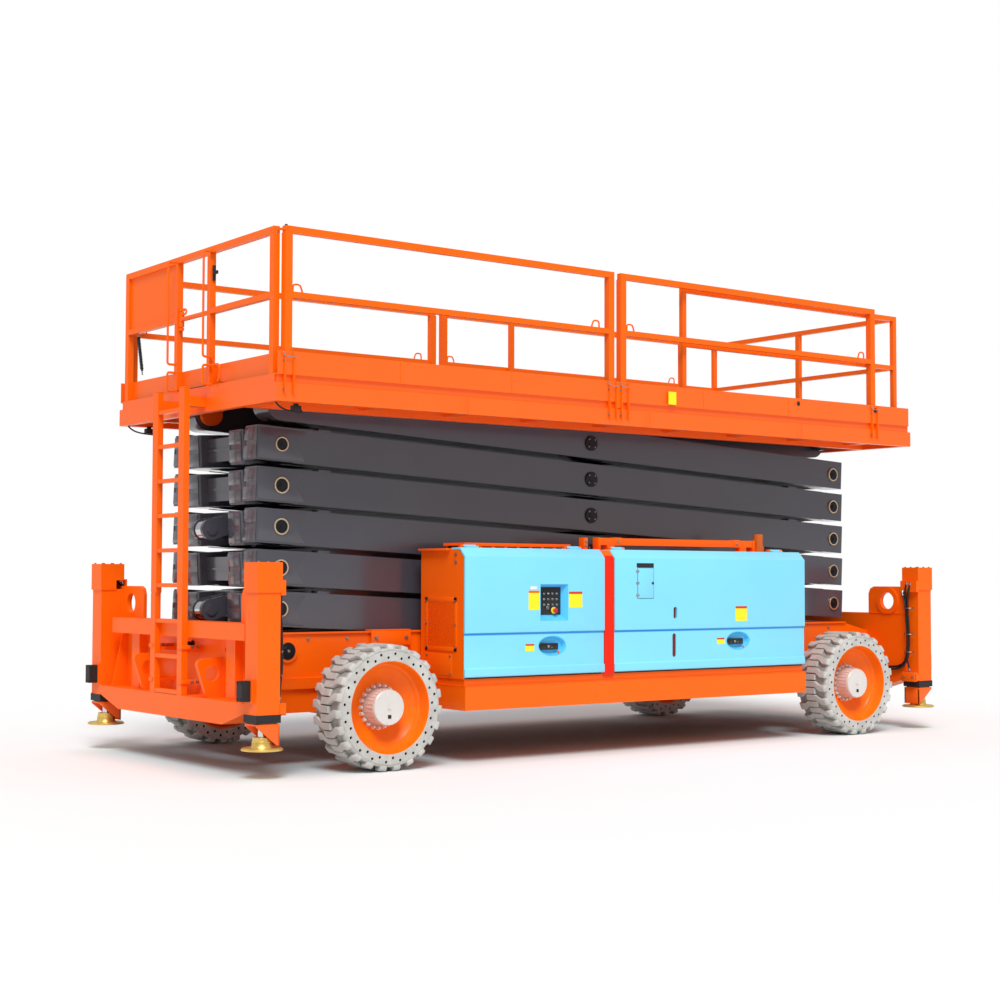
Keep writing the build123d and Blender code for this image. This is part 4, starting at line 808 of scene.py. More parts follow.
class Tyres(bpy.types.Operator):
    """Solid tyres with hooked block lugs and two rings of cooling holes"""
    bl_idname = "lift.tyres"
    bl_label = "Tyres"

    def execute(self, context):
        s = looks()
        root = TYRE_R - s.lug_height
        half = [(0.3605, 0.1742), (0.3455, 0.1742), (0.3455, 0.1765), (0.3475, 0.1785), (0.420, 0.1785),
                (0.4215, 0.1745),
                (0.4265, 0.1745), (0.428, 0.1775), (root - 0.006, 0.174), (root, 0.164), (root + 0.001, 0.08)]
        profile = [(r, WHEEL_Y + t) for r, t in half] + [(r, WHEEL_Y - t) for r, t in reversed(half)]
        body = turned(profile, "carcass")
        cutters = []
        for i in range(40):
            a = math.tau * (i + 0.62) / 40
            r = 0.401 if i % 2 == 0 else 0.3725
            for y in (1.455, 1.165):
                none_picked()
                bpy.ops.mesh.primitive_cylinder_add(vertices=12, radius=0.0115, depth=0.09,
                                                    location=(WHEEL_X + r * math.cos(a), y,
                                                              WHEEL_Z + r * math.sin(a)),
                                                    rotation=(math.pi / 2, 0, 0))
                cutters.append(settle(bpy.context.object))
        carved(body, joined(cutters))
        # one lug's outline: (share of the pitch, distance from the middle, which way it grows to the root)
        outline = [(-0.235, -0.055, -1), (0.205, -0.055, 1), (0.205, 0.052, 1), (0.50, 0.112, 1),
                   (0.50, None, 1),
                   (0.02, None, -1), (0.02, 0.108, -1), (-0.235, 0.056, -1)]
        pitch = math.tau / s.lug_count
        lugs = []
        for side in (-1.0, 1.0):
            for c in range(s.lug_count):
                base = pitch * (c + (0.5 if side > 0 else 0.0))
                verts, faces = [], []
                for r, wall, grow, low in ((TYRE_R, 0.162, -0.018, TYRE_R), (0.4565, 0.1795, 0.0, 0.4565),
                                           (root - 0.004, 0.1795, 0.018, 0.430)):
                    for a, t, out in outline:
                        w = base + pitch * (a + out * grow)
                        rr = low if t is None else r
                        tt = wall if t is None else t
                        verts.append((WHEEL_X + rr * math.cos(w), WHEEL_Y + side * tt,
                                      WHEEL_Z + rr * math.sin(w)))
                n = len(outline)
                faces.append(tuple(range(n)))
                faces.append(tuple(range(3 * n - 1, 2 * n - 1, -1)))
                for j in (0, 1):
                    for k in range(n):
                        m = (k + 1) % n
                        faces.append((j * n + k, j * n + m, (j + 1) * n + m, (j + 1) * n + k))
                lugs.append(made("lug", verts, [], faces))
        tread = soften(outward(joined(lugs)), 0.0028, 1, 30.0)
        to_corners(joined([tread, body]), "lug_tyre", "tyre", "wheel", "tyre", 34.0)
        return {"FINISHED"}


class WheelParts(bpy.types.Operator):
    """Rims with their dish and hub case, hub covers, plugs and wheel nuts"""
    bl_idname = "lift.wheel_parts"
    bl_label = "Wheel parts"

    def execute(self, context):
        face = 1.462
        profile = [(0.0002, face), (0.125, face), (0.1315, face - 0.006), (0.134, face - 0.022),
                   (0.137, 1.33), (0.1425, 1.312),
                   (0.186, 1.312), (0.190, 1.3135), (0.292, 1.370), (0.3005, 1.3785), (0.3035, 1.3845),
                   (0.309, 1.3875), (0.323, 1.3925),
                   (0.3275, 1.399), (0.3345, 1.450), (0.3385, 1.4825), (0.3405, 1.4862), (0.3435, 1.4872),
                   (0.3458, 1.4858),
                   (0.3462, 1.4838), (0.3598, 1.4838), (0.3598, 1.142), (0.330, 1.142), (0.3225, 1.376),
                   (0.292, 1.352), (0.186, 1.292),
                   (0.066, 1.292), (0.066, 1.383), (0.0002, 1.383)]
        to_corners(turned(profile, "rim", 80), "dished_rim", "rim", "wheel", "rim", 34.0)
        steps = [disc((WHEEL_X, face, WHEEL_Z), (0, 1, 0), 0.130, 0.006, 56, 0.0015),
                 disc((WHEEL_X, face + 0.006, WHEEL_Z), (0, 1, 0), 0.024, 0.004, 28, 0.0012, 0.017),
                 disc((WHEEL_X, face + 0.006, WHEEL_Z), (0, 1, 0), 0.012, 0.007, 6, 0.001)]
        for x, z in around(12, 0.117, 0.3):
            steps.append(disc((WHEEL_X + x, face + 0.006, WHEEL_Z + z), (0, 1, 0), 0.0062, 0.003, 8, 0.0006))
        ribs = []
        for i in range(30):
            a = math.tau * i / 30
            r = slab(-0.0018, 0.0018, 1.335, 1.444, -0.0022, 0.0022, 0.0)
            r.data.transform(Matrix.Translation((WHEEL_X + 0.1368 * math.cos(a), 0,
                                                 WHEEL_Z + 0.1368 * math.sin(a))) @ Matrix.Rotation(-a, 4,
                                                                                                    "Y"))
            ribs.append(r)
        to_corners(joined(steps + ribs), "hub_cover", "hub", "wheel")
        plugs = [slab(WHEEL_X - 0.017, WHEEL_X + 0.013, face + 0.006, face + 0.0085, WHEEL_Z - 0.082,
                      WHEEL_Z - 0.054, 0.001),
                 disc((WHEEL_X - 0.002, face + 0.0085, WHEEL_Z - 0.068), (0, 1, 0), 0.010, 0.005, 6, 0.001)]
        to_corners(joined(plugs), "hub_plug", "rubber", "wheel")
        nuts = []
        # washer, nut and stud end: distance outwards, radius, height, sides, edge
        stack = ((1.312, 0.0165, 0.004, 14, 0.0008), (1.316, 0.0142, 0.016, 6, 0.0015),
                 (1.332, 0.0095, 0.011, 12, 0.002))
        for x, z in around(20, 0.1585):
            nuts += [disc((WHEEL_X + x, y, WHEEL_Z + z), (0, 1, 0), *rest) for y, *rest in stack]
        to_corners(joined(nuts), "wheel_nuts", "hub", "wheel")
        return {"FINISHED"}


def place_on_arm(o, k, outer):
    """Moves a piece drawn on a level arm to arm k: x from the front pin, z from the beam's middle."""
    tilt = math.atan2(LEVEL, 2 * PIN_X)
    level, turn = (k, tilt) if outer else (k - 1, -tilt)
    o.data.transform(Matrix.Translation((-PIN_X, 0, pin_z(level))) @ Matrix.Rotation(turn, 4, "Y"))
    return o


class ArmParts(bpy.types.Operator):
    """Pin rings, pin covers, slots, doublers and weld seams on the arms"""
    bl_idname = "lift.arm_parts"
    bl_label = "Arm parts"

    def execute(self, context):
        span = math.hypot(LEVEL, 2 * PIN_X)
        for k in range(1, 7):
            body = f"outer_{k}"
            y = ARM_Y
            rings, darks, bolts = [], [], []
            for x in ([] if k == 6 else [0.0]) + [span, span / 2]:
                if x == span / 2:
                    darks.append(disc((x, y, 0), (0, 1, 0), 0.066, 0.016, 32, 0.003))
                    darks.append(disc((x, y + 0.016, 0), (0, 1, 0), 0.030, 0.004, 24, 0.001))
                    for dx, dz in around(4, 0.045, 0.5):
                        bolts.append(bolt((x + dx, y + 0.016, dz), (0, 1, 0), 0.007, False))
                else:
                    small = k == 5 and x == 0.0
                    ring_r, hole_r, cover_r = (0.056, 0.047, 0.0465) if small else (0.0635, 0.0525, 0.052)
                    rings.append(ring_of(x, y, ring_r, hole_r, 0.016))
                    darks.append(disc((x, y, 0), (0, 1, 0), cover_r, 0.011, 28, 0.002))
                    darks.append(disc((x, y + 0.011, 0), (0, 1, 0), 0.026, 0.004, 20, 0.001))
                    darks.append(disc((x, y + 0.015, 0), (0, 1, 0), 0.012, 0.008, 6, 0.001))
            for group, name, mat in ((rings, "pin_rings", "brass"), (darks, "pin_covers", "dark_bolt"),
                                     (bolts, "pin_bolts", "bolt")):
                finish(place_on_arm(mirrored(joined(group)), k, True), f"{name}_{k}", mat, body)
            # doubler near the front of the outer face
            if k != 6:
                shape = [(-0.196, -0.118), (0.215, -0.118), (0.128, 0.0), (0.215, 0.118), (-0.196, 0.118)]
                doubler = mirrored(outline_plate(shape, "Y", 0.7125, 0.7165, 0.0012))
                finish(place_on_arm(doubler, k, True), f"arm_doubler_{k}", "grey", body)
        for k in range(1, 7):
            for outer in (True, False):
                if outer and k == 6:
                    continue
                y0, y1 = (0.49, ARM_Y) if outer else (0.25, 0.47)
                row = "outer" if outer else "inner"
                pieces = []
                if outer or k != 1:
                    # end plate with a slot in its middle
                    pieces.append(frame_plate(-0.2065, y0 + 0.012, y1 - 0.012, -0.118, 0.118, 0.004))
                seams = []
                for z in (-0.1325, 0.1325):
                    for yy in (y0 + 0.012, y1 - 0.012):
                        seams.append(slab(0.12, span - 0.14, yy - 0.004, yy + 0.004, z - 0.0035, z + 0.0035,
                                          0.0))
                trim = place_on_arm(mirrored(joined(pieces + seams)), k, outer)
                finish(trim, f"arm_trim_{row}_{k}", "grey", f"{row}_{k}")
        return {"FINISHED"}


def ring_of(x, y, r, hole, depth):
    """A flat machined ring around a pin end, facing +Y."""
    none_picked()
    bpy.ops.mesh.primitive_circle_add(vertices=40, radius=hole, location=(x, y, 0),
                                      rotation=(math.pi / 2, 0, 0))
    o = settle(bpy.context.object)
    only(o)
    bpy.ops.object.mode_set(mode="EDIT")
    bpy.ops.mesh.select_all(action="SELECT")
    bpy.ops.mesh.extrude_edges_move(TRANSFORM_OT_translate={"value": (0, 0, 0)})
    bpy.ops.transform.resize(value=(r / hole, 1.0, r / hole), center_override=(x, y, 0))
    bpy.ops.mesh.select_all(action="SELECT")
    bpy.ops.mesh.extrude_region_move(TRANSFORM_OT_translate={"value": (0, depth, 0)})
    bpy.ops.object.mode_set(mode="OBJECT")
    return soften(outward(o), 0.002, 2, 50.0)


def frame_plate(x, y0, y1, z0, z1, t):
    """An end plate with a pressed slot across its middle, facing -X."""
    zs = (-0.020, 0.020)
    parts = [slab(x - t, x, y0, y1, z0, zs[0], 0.0012), slab(x - t, x, y0, y1, zs[1], z1, 0.0012)]
    parts.append(slab(x - t, x, y0, y0 + 0.016, zs[0] - 0.002, zs[1] + 0.002, 0.0))
    parts.append(slab(x - t, x, y1 - 0.016, y1, zs[0] - 0.002, zs[1] + 0.002, 0.0))
    return joined(parts)


class CabinetParts(bpy.types.Operator):
    """Louvre panels, covers, bolts and door seals on the cabinets"""
    bl_idname = "lift.cabinet_parts"
    bl_label = "Cabinet parts"

    def execute(self, context):
        x0 = CAB_X
        for side, sy in SIDES:
            # front end face: louvre frame with slanted slats, lower cover, bolts
            frame_bits = []
            fy0, fy1, fz0, fz1 = 0.925, 1.355, 0.865, 1.285
            w = 0.035
            for a in ((fy0, fy1, fz0, fz0 + w), (fy0, fy1, fz1 - w, fz1), (fy0, fy0 + w, fz0, fz1),
                      (fy1 - w, fy1, fz0, fz1)):
                frame_bits.append(slab(x0 - 0.006, x0, a[0], a[1], a[2], a[3], 0.0015))
            slat = []
            gy0, gy1, gz0, gz1 = fy0 + w, fy1 - w, fz0 + w, fz1 - w
            for i in range(26):
                c = gz0 - 0.30 + i * 0.0265
                a_y, b_y = gy0, gy1
                za, zb = c, c + (gy1 - gy0) * 0.75
                if zb <= gz0 or za >= gz1:
                    continue
                if za < gz0:
                    a_y = gy0 + (gz0 - za) / 0.75
                    za = gz0
                if zb > gz1:
                    b_y = gy0 + (gz1 - c) / 0.75
                    zb = gz1
                o = disc((x0 - 0.001, a_y, za), (0, b_y - a_y, zb - za), 0.0058,
                         math.hypot(b_y - a_y, zb - za), 6, 0.0)
                slat.append(o)
            cover = slab(x0 - 0.004, x0, 0.93, 1.29, 0.675, 0.842, 0.0015)
            o = joined(frame_bits + slat + [cover])
            bolts = [bolt((x0 - 0.006, y, z), (-1, 0, 0), 0.0085) for y in (fy0 + 0.017, fy1 - 0.017)
                     for z in (fz0 + 0.03, 1.075, fz1 - 0.03)]
            bolts += [bolt((x0 - 0.004, y, z), (-1, 0, 0), 0.008) for y in (0.95, 1.27) for z in (0.69, 0.83)]
            bolts += [bolt((x0, 1.34, z), (-1, 0, 0), 0.011) for z in (1.56, 1.62)]
            b = joined(bolts)
            if sy < 0:
                for q in (o, b):
                    q.data.transform(Matrix.Diagonal((1, -1, 1, 1)))
                    q.data.flip_normals()
            finish(o, f"louvre_panel_{side}", "orange_low", "chassis")
            finish(b, f"end_bolts_{side}", "bolt", "chassis")
            # dark seal strips behind the doors
            seals = []
            for a, c in ((-1.87, -0.497), (-0.354, 1.866)):
                seals.append(slab(a, c, sy * 1.436, sy * 1.441, 0.660, 0.672, 0.001))
            finish(joined(seals), f"door_seals_{side}", "rubber", "chassis")
        return {"FINISHED"}


# Doors: outer face, face of the pressed-in band, the band's height range, bowls of the handles
DOOR_FACE = 1.466
BAND_FACE = 1.4545
BAND_Z = (0.737, 1.008)
HANDLE_X = {"front": -1.022, "rear": 1.051}
HANDLE_Z = 0.897
# Control window: left, right, bottom, top; slots: middle, bottom, top
PANEL = (-1.151, -0.867, 1.098, 1.388)
SLOTS = ((0.302, 1.094, 1.196), (0.299, 0.772, 0.972))


def rings(sections, capped):
    """A closed mesh through rings of points, capped at both ends or joined round."""
    n = len(sections[0])
    verts = [v for ring in sections for v in ring]
    count = len(sections)
    faces = []
    for i in range(count - 1 if capped else count):
        a, b = i * n, (i + 1) % count * n
        faces += [(a + j, a + (j + 1) % n, b + (j + 1) % n, b + j) for j in range(n)]
    if capped:
        faces += [tuple(range(n)), tuple(range((count - 1) * n, count * n))]
    return outward(made("rings", verts, [], faces))


def oval(x, z, rx, rz, steps=56):
    """Outline of a door's handle bowl."""
    return [(x + rx * math.cos(math.tau * i / steps), z + rz * math.sin(math.tau * i / steps))
            for i in range(steps)]


def capsule(x, za, zb, r, steps=12):
    """Outline of an upright slot with round ends."""
    up = [(x + r * math.cos(math.pi * i / steps), zb - r + r * math.sin(math.pi * i / steps))
          for i in range(steps + 1)]
    down = [(x - r * math.cos(math.pi * i / steps), za + r - r * math.sin(math.pi * i / steps))
            for i in range(steps + 1)]
    return up + down


class Doors(bpy.types.Operator):
    """Cabinet doors with a pressed-in band, oval handle bowls, the control window and slots"""
    bl_idname = "lift.doors"
    bl_label = "Doors"

    def execute(self, context):
        z0, z1 = BAND_Z
        skin = [(DOOR_FACE - 0.006, 0.668), (DOOR_FACE, 0.675), (DOOR_FACE, z0 - 0.005),
                (BAND_FACE, z0 + 0.004), (BAND_FACE, z1 - 0.002),
                (DOOR_FACE, z1 + 0.004), (DOOR_FACE, 1.604), (1.396, 1.674), (1.279, 1.674), (1.279, 1.656),
                (1.389, 1.656),
                (1.445, 1.597), (1.445, 0.668)]
        for end, _ in ENDS:
            hx = HANDLE_X[end]
            for side, sy in SIDES:
                node = f"door_{end}_{side}"
                xs = [(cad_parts[node].matrix_world @ Vector(c)).x
                      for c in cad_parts[node].bound_box]
                x0, x1 = min(xs), max(xs)
                door = outline_plate(skin, "X", x0, x1, 0.0016)
                door = carved(door, outline_plate(oval(hx, HANDLE_Z, 0.1385, 0.0765), "Y", 1.40, 1.50, 0.0))
                if node == "door_front_left":
                    door = carved(door, slab(PANEL[0], PANEL[1], 1.40, 1.50, PANEL[2], PANEL[3], 0.0))
                if node == "door_rear_left":
                    for x, za, zb in SLOTS:
                        door = carved(door, outline_plate(capsule(x, za, zb, 0.021), "Y", 1.40, 1.50, 0.0))
                bowl = [[(x, BAND_FACE + out, z) for x, z in oval(hx, HANDLE_Z, 0.1385 + d, 0.0765 + d)]
                        for d, out in
                        ((-0.046, -0.034), (-0.020, -0.030), (-0.002, 0.0012), (0.004, 0.0012),
                         (0.004, -0.001), (0.0, -0.003),
                         (-0.016, -0.034), (-0.040, -0.038))]
                bowl = rings(bowl, True)
                bits = [door]
                for x in (x0 + 0.18, x1 - 0.18):
                    barrel = [[(x + w, 1.262 + r * math.cos(math.tau * i / 24),
                                1.684 + r * math.sin(math.tau * i / 24)) for i in range(24)]
                              for r, w in ((0.015, -0.06), (0.015, 0.06), (0.0096, 0.06), (0.0096, -0.06))]
                    bits += [rings(barrel, False), slab(x - 0.06, x + 0.06, 1.2755, 1.309, 1.6735, 1.686,
                                                        0.001)]
                door = joined(bits)
                hz = HANDLE_Z - 0.0065
                grip = joined([slab(hx - 0.134, hx + 0.067, 1.428, 1.4535, hz - 0.026, hz + 0.026, 0.008, 3),
                               slab(hx - 0.120, hx - 0.075, 1.4525, 1.4555, hz - 0.018, hz + 0.018, 0.002),
                               disc((hx - 0.01, 1.4525, hz), (0, 1, 0), 0.016, 0.003, 24, 0.001)])
                lock = joined([disc((hx - 0.035, 1.4525, hz), (0, 1, 0), 0.0105, 0.003, 20, 0.001),
                               slab(hx - 0.010, hx + 0.002, 1.4555, 1.457, hz - 0.010, hz - 0.004, 0.0005)])
                tag = disc((hx + 0.066, 1.4545, hz - 0.044), (0, 1, 0), 0.010, 0.004, 20, 0.001)
                # The handle bowls take the deeper blue of painted shade.
                for o, name, mat in ((door, "skin", "blue"), (bowl, "bowl", "bowl"),
                                     (grip, "handle", "panel"), (lock, "lock", "steel"),
                                     (tag, "tag", "orange")):
                    if sy < 0:
                        o.data.transform(Matrix.Diagonal((1, -1, 1, 1)))
                        o.data.flip_normals()
                    finish(o, f"door_{name}_{end}_{side}", mat, node)
                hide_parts(node)
        return {"FINISHED"}


class ControlPanel(bpy.types.Operator):
    """Ground controls in their recess, and the blank labels near them"""
    bl_idname = "lift.control_panel"
    bl_label = "Control panel"

    def execute(self, context):
        x0, x1, z0, z1 = PANEL
        y = -DOOR_FACE
        back = -1.416
        # recess with sloped sides, in the deeper blue of painted shade
        outer = [(x0, z0), (x1, z0), (x1, z1), (x0, z1)]
        inner = [(x0 + 0.004, z0 + 0.046), (x1 - 0.044, z0 + 0.044), (x1 - 0.044, z1 - 0.004),
                 (x0 + 0.004, z1 - 0.004)]
        verts = [(a, y + 0.001, b) for a, b in outer] + [(a, back, b) for a, b in inner]
        faces = [(0, 1, 5, 4), (1, 2, 6, 5), (2, 3, 7, 6), (3, 0, 4, 7), (4, 5, 6, 7)]
        o = made("recess", verts, [], faces)
        m = o.modifiers.new("wall", "SOLIDIFY")
        m.thickness = 0.003
        m.offset = 1.0
        bpy.ops.object.modifier_apply(modifier="wall")
        finish(o, "control_recess", "bowl", "door_front_left")
        px0, px1, pz0, pz1 = x0 + 0.006, x1 - 0.046, z0 + 0.046, z1 - 0.024
        plate = slab(px0, px1, back - 0.010, back + 0.004, pz0, pz1, 0.002)
        finish(plate, "control_plate", "panel", "door_front_left")
        knobs = []
        for i in range(4):
            for j in range(3):
                x = px0 + 0.056 + i * 0.043
                z = pz1 - 0.052 - j * 0.044
                knobs.append(disc((x, back - 0.010, z), (0, -1, 0), 0.0085, 0.010, 14, 0.001))
                knobs.append(disc((x, back - 0.020, z), (0, -1, 0), 0.0032, 0.012, 8, 0.0008))
        finish(joined(knobs), "control_switches", "steel", "door_front_left")
        finish(disc((px0 + 0.158, back - 0.010, pz0 + 0.034), (0, -1, 0), 0.027, 0.010, 28, 0.002),
               "stop_collar", "yellow", "door_front_left")
        stop = joined([disc((px0 + 0.158, back - 0.020, pz0 + 0.034), (0, -1, 0), 0.012, 0.012, 20, 0.001),
                       disc((px0 + 0.158, back - 0.032, pz0 + 0.034), (0, -1, 0), 0.021, 0.012, 28, 0.004)])
        finish(stop, "stop_button", "red", "door_front_left")
        key = joined([disc((px0 + 0.094, back - 0.010, pz0 + 0.055), (0, -1, 0), 0.014, 0.010, 20, 0.002),
                      slab(px0 + 0.091, px0 + 0.097, back - 0.032, back - 0.020, pz0 + 0.043, pz0 + 0.067,
                           0.001)])
        finish(key, "key_switch", "bolt", "door_front_left")

        def label(name, xa, xb, za, zb, mat, band=None, band_h=0.0, body="door_front_left"):
            yy = -(DOOR_FACE if za > 1.0 else BAND_FACE) - 0.0002
            finish(slab(xa, xb, yy - 0.0006, yy, za, zb, 0.0), name, mat, body)
            if band:
                finish(slab(xa, xb, yy - 0.0009, yy - 0.0004, zb - band_h, zb, 0.0), name + "_band", band,
                       body)

        label("label_panel_left", -1.270, -1.161, 1.183, 1.337, "yellow", "orange", 0.018)
        label("label_white_small", -1.253, -1.188, 1.349, 1.371, "paper")
        label("label_panel_right", -0.858, -0.720, 1.200, 1.328, "yellow", "redband", 0.019)
        label("label_handle", -1.291, -1.204, 0.859, 0.915, "yellow", "redband", 0.014)
        label("label_rear_door", 1.010, 1.150, 1.067, 1.195, "yellow", "redband", 0.019, "door_rear_left")
        label("label_rear_low", 0.797, 0.888, 0.871, 0.924, "yellow", "redband", 0.014, "door_rear_left")
        label("label_fuel", -0.133, 0.057, 1.527, 1.563, "panel", None, 0.0, "door_rear_left")
        # fuel door with its hinges and lock, and the backs of the two slots: dark red sheets of painted shade
        # standing in for the shaded inside of the cabinet
        fx0, fx1, fz0, fz1 = -0.122, 0.054, 1.270, 1.523
        y = -DOOR_FACE
        finish(slab(fx0, fx1, y - 0.0025, y, fz0, fz1, 0.0012), "fuel_flap", "blue", "door_rear_left")
        gap = [(fx0, y - 0.0008, fz0), (fx1, y - 0.0008, fz0), (fx1, y - 0.0008, fz1), (fx0, y - 0.0008, fz1),
               (fx0, y - 0.0008, fz0)]
        finish(wire(gap, 0.0022, 6), "fuel_flap_gap", "rubber", "door_rear_left")
        leaves = [slab(fx0 - 0.017, fx0 + 0.017, y - 0.0042, y - 0.0002, z - 0.009, z + 0.009, 0.001)
                  for z in (1.494, 1.396, 1.294)]
        leaves += [disc((fx0, y - 0.003, z - 0.012), (0, 0, 1), 0.0038, 0.024, 12, 0.0)
                   for z in (1.494, 1.396, 1.294)]
        finish(joined(leaves), "fuel_flap_hinges", "steel", "door_rear_left")
        finish(disc((fx1 - 0.010, y - 0.002, 1.396), (0, -1, 0), 0.011, 0.005, 20, 0.001), "fuel_flap_lock",
               "panel", "door_rear_left")
        backs = [slab(x - 0.030, x + 0.030, -1.4448, -1.4425, za - 0.010, zb + 0.010, 0.0) for x, za,
                 zb in SLOTS]
        finish(joined(backs), "door_slots", "slot", "door_rear_left")
        return {"FINISHED"}


def sided(o, sx, sy):
    """A copy of a piece drawn for the rear right corner, at another corner."""
    c = o.copy()
    c.data = o.data.copy()
    bpy.context.collection.objects.link(c)
    m = Matrix.Diagonal((sx, sy, 1.0, 1.0))
    c.data.transform(m)
    if m.determinant() < 0.0:
        c.data.flip_normals()
    return c


def bead(a, b, r=0.005):
    """A weld seam between two points, a slightly lumpy round bead."""
    a, b = Vector(a), Vector(b)
    n = max(2, int((b - a).length / 0.05))
    pts = []
    for i in range(n + 1):
        k = 0.0012 if i % 2 else -0.0012
        pts.append(a.lerp(b, i / n) + Vector((k, k, k)) * (0.0 if i in (0, n) else 1.0))
    return bent([tuple(p) for p in pts], r, 6)


class EndParts(bpy.types.Operator):
    """Cap bolts, hoses with clips, brackets, bumper bolts and weld seams on the end frames"""
    bl_idname = "lift.end_parts"
    bl_label = "End frame parts"

    def execute(self, context):
        cap = [bolt((x, y, 1.546), (0, 0, 1), 0.0085) for x in (3.50, 3.58, 3.66) for y in (1.268, 1.422)]
        box = [slab(3.430, FRAME_X - 0.001, 1.272, 1.428, 0.452, 0.540, 0.004)]
        box.append(slab(3.438, 3.486, 1.433, 1.440, 0.462, 0.530, 0.002))
        fit = [bolt((3.458, y, 0.540), (0, 0, 1), 0.010) for y in (1.30, 1.35, 1.40)]
        fit += [bolt((3.430, y, 0.496), (-1, 0, 0), 0.009) for y in (1.30, 1.40)]
        hoses = []
        runs = (((3.500, 1.330, 1.400), (3.462, 1.322, 1.405), (3.440, 1.312, 1.33), (3.438, 1.322, 1.20),
                 (3.438, 1.328, 1.05),
                 (3.438, 1.338, 0.92), (3.438, 1.338, 0.76), (3.438, 1.315, 0.64), (3.436, 1.235, 0.592),
                 (3.430, 1.12, 0.585), (3.40, 1.00, 0.58)),
                ((3.500, 1.372, 1.392), (3.460, 1.366, 1.400), (3.438, 1.352, 1.32), (3.436, 1.342, 1.20),
                 (3.436, 1.350, 1.05),
                 (3.436, 1.360, 0.92), (3.436, 1.358, 0.76), (3.436, 1.335, 0.645), (3.434, 1.250, 0.572),
                 (3.426, 1.12, 0.560), (3.395, 1.00, 0.555)),
                ((3.452, 1.275, 1.330), (3.440, 1.278, 1.300), (3.436, 1.300, 1.245), (3.424, 1.330, 1.17),
                 (3.422, 1.338, 1.05),
                 (3.422, 1.350, 0.90), (3.424, 1.350, 0.76), (3.430, 1.338, 0.67), (3.440, 1.352, 0.60),
                 (3.452, 1.352, 0.555)))
        ends = []
        for run, r in zip(runs, (0.011, 0.011, 0.008)):
            hoses.append(bent(run, r, 10))
            a, b = Vector(run[0]), Vector(run[1])
            ends.append(disc(b, (a - b), r * 1.55, 0.026, 6, 0.001))
            ends.append(disc(b, (b - a) * 0.2 + (Vector(run[2]) - b), r * 1.25, 0.028, 16, 0.001))
        ends.append(disc(runs[2][-1], Vector(runs[2][-2]) - Vector(runs[2][-1]), 0.012, 0.024, 6, 0.001))
        clips = []
        for z in (1.155, 0.905, 0.735):
            clips.append(bent([(3.456, 1.300, z), (3.430, 1.304, z), (3.412, 1.342, z), (3.430, 1.385, z),
                               (3.456, 1.388, z)], 0.0035, 8))
            clips.append(slab(3.452, 3.456, 1.284, 1.304, z - 0.010, z + 0.010, 0.001))
            clips.append(slab(3.452, 3.456, 1.384, 1.404, z - 0.010, z + 0.010, 0.001))
        marks = []
        for y in (1.302, 1.352):
            for z in (0.572, 0.685):
                marks.append(disc((3.758, y, z), (1, 0, 0), 0.0095, 0.0015, 16, 0.0005))
                marks.append(disc((3.7595, y, z), (1, 0, 0), 0.006, 0.002, 6, 0.0004))
        seams = []
        for a, b in (((3.486, 1.252, 0.545), (3.486, 1.252, 1.30)),
                     ((3.673, 1.257, 0.534), (3.622, 1.257, 0.536)),
                     ((3.675, 1.262, 0.462), (3.675, 1.430, 0.462)),
                     ((3.49, 1.4345, 0.462), (3.67, 1.4345, 0.462)),
                     ((3.49, 1.150, 0.978), (3.618, 1.150, 0.978)),
                     ((3.4535, 0.860, 1.103), (3.4535, 1.28, 1.103)),
                     ((FRAME_X, 0.0, 0.537), (FRAME_X, 1.22, 0.537)),
                     ((FRAME_X, 0.0, 0.975), (FRAME_X, 1.14, 0.975)),
                     ((3.488, 0.752, 0.54), (3.488, 0.752, 0.972)),
                     ((3.488, 0.892, 0.54), (3.488, 0.892, 0.972)),
                     ((3.488, 0.569, 0.54), (3.488, 0.569, 0.83)),
                     ((3.488, 0.531, 0.54), (3.488, 0.531, 0.83)),
                     ((3.50, 0.570, 0.5365), (3.60, 0.570, 0.5365))):
            seams.append(bead(a, b, 0.0045))
        cx, cy = LEG
        g = 0.010
        leg = [slab(3.486, 3.673, 1.257, 1.433, 0.383, 0.395, 0.001),
               slab(3.486, 3.498, 1.257, 1.433, 0.240, 0.383, 0.001)]
        for ya, yb in ((1.257, 1.269), (1.421, 1.433)):
            leg.append(outline_plate([(3.486, 0.240), (3.506, 0.240), (3.673, 0.377), (3.673, 0.383),
                                      (3.486, 0.383)], "Y", ya, yb, 0.001))
        for xa, xb, ya, yb in ((3.501, 3.501 + g, 1.272, 1.418), (3.658 - g, 3.658, 1.272, 1.418),
                               (3.501, 3.658, 1.272, 1.272 + g),
                               (3.501, 3.658, 1.418 - g, 1.418)):
            leg.append(slab(xa, xb, ya, yb, 0.395, 1.300, 0.0))
        leg.append(disc((cx, cy, 0.2995), (0, 0, 1), 0.030, 0.084, 32, 0.0))
        leg.append(turned([(0.0002, 0.205), (0.149, 0.205), (0.151, 0.207), (0.151, 0.215), (0.148, 0.218),
                           (0.142, 0.2185), (0.141, 0.224),
                           (0.084, 0.226), (0.0745, 0.240), (0.0715, 0.262), (0.0745, 0.264), (0.0745, 0.270),
                           (0.0690, 0.272),
                           (0.0675, 0.297), (0.0655, 0.300), (0.0002, 0.300)], "foot", 48, (cx, cy)))
        to_corners(joined(leg), "leg", "leg", "outrigger", "outrigger_leg", 30.0)
        src = ((joined(cap), "cap_bolts", "bolt"), (joined(box), "leg_valve_box", "orange_low"),
               (joined(fit), "valve_bolts", "bolt"),
               (joined(hoses), "leg_hoses", "hose"), (joined(ends), "hose_ends", "steel"),
               (joined(clips), "hose_clips", "bolt"),
               (joined(marks), "bumper_bolts", "dark_bolt"), (joined(seams), "post_seams", "orange_low"))
        for o, name, mat in src:
            to_corners(o, name, mat, "chassis")
        return {"FINISHED"}


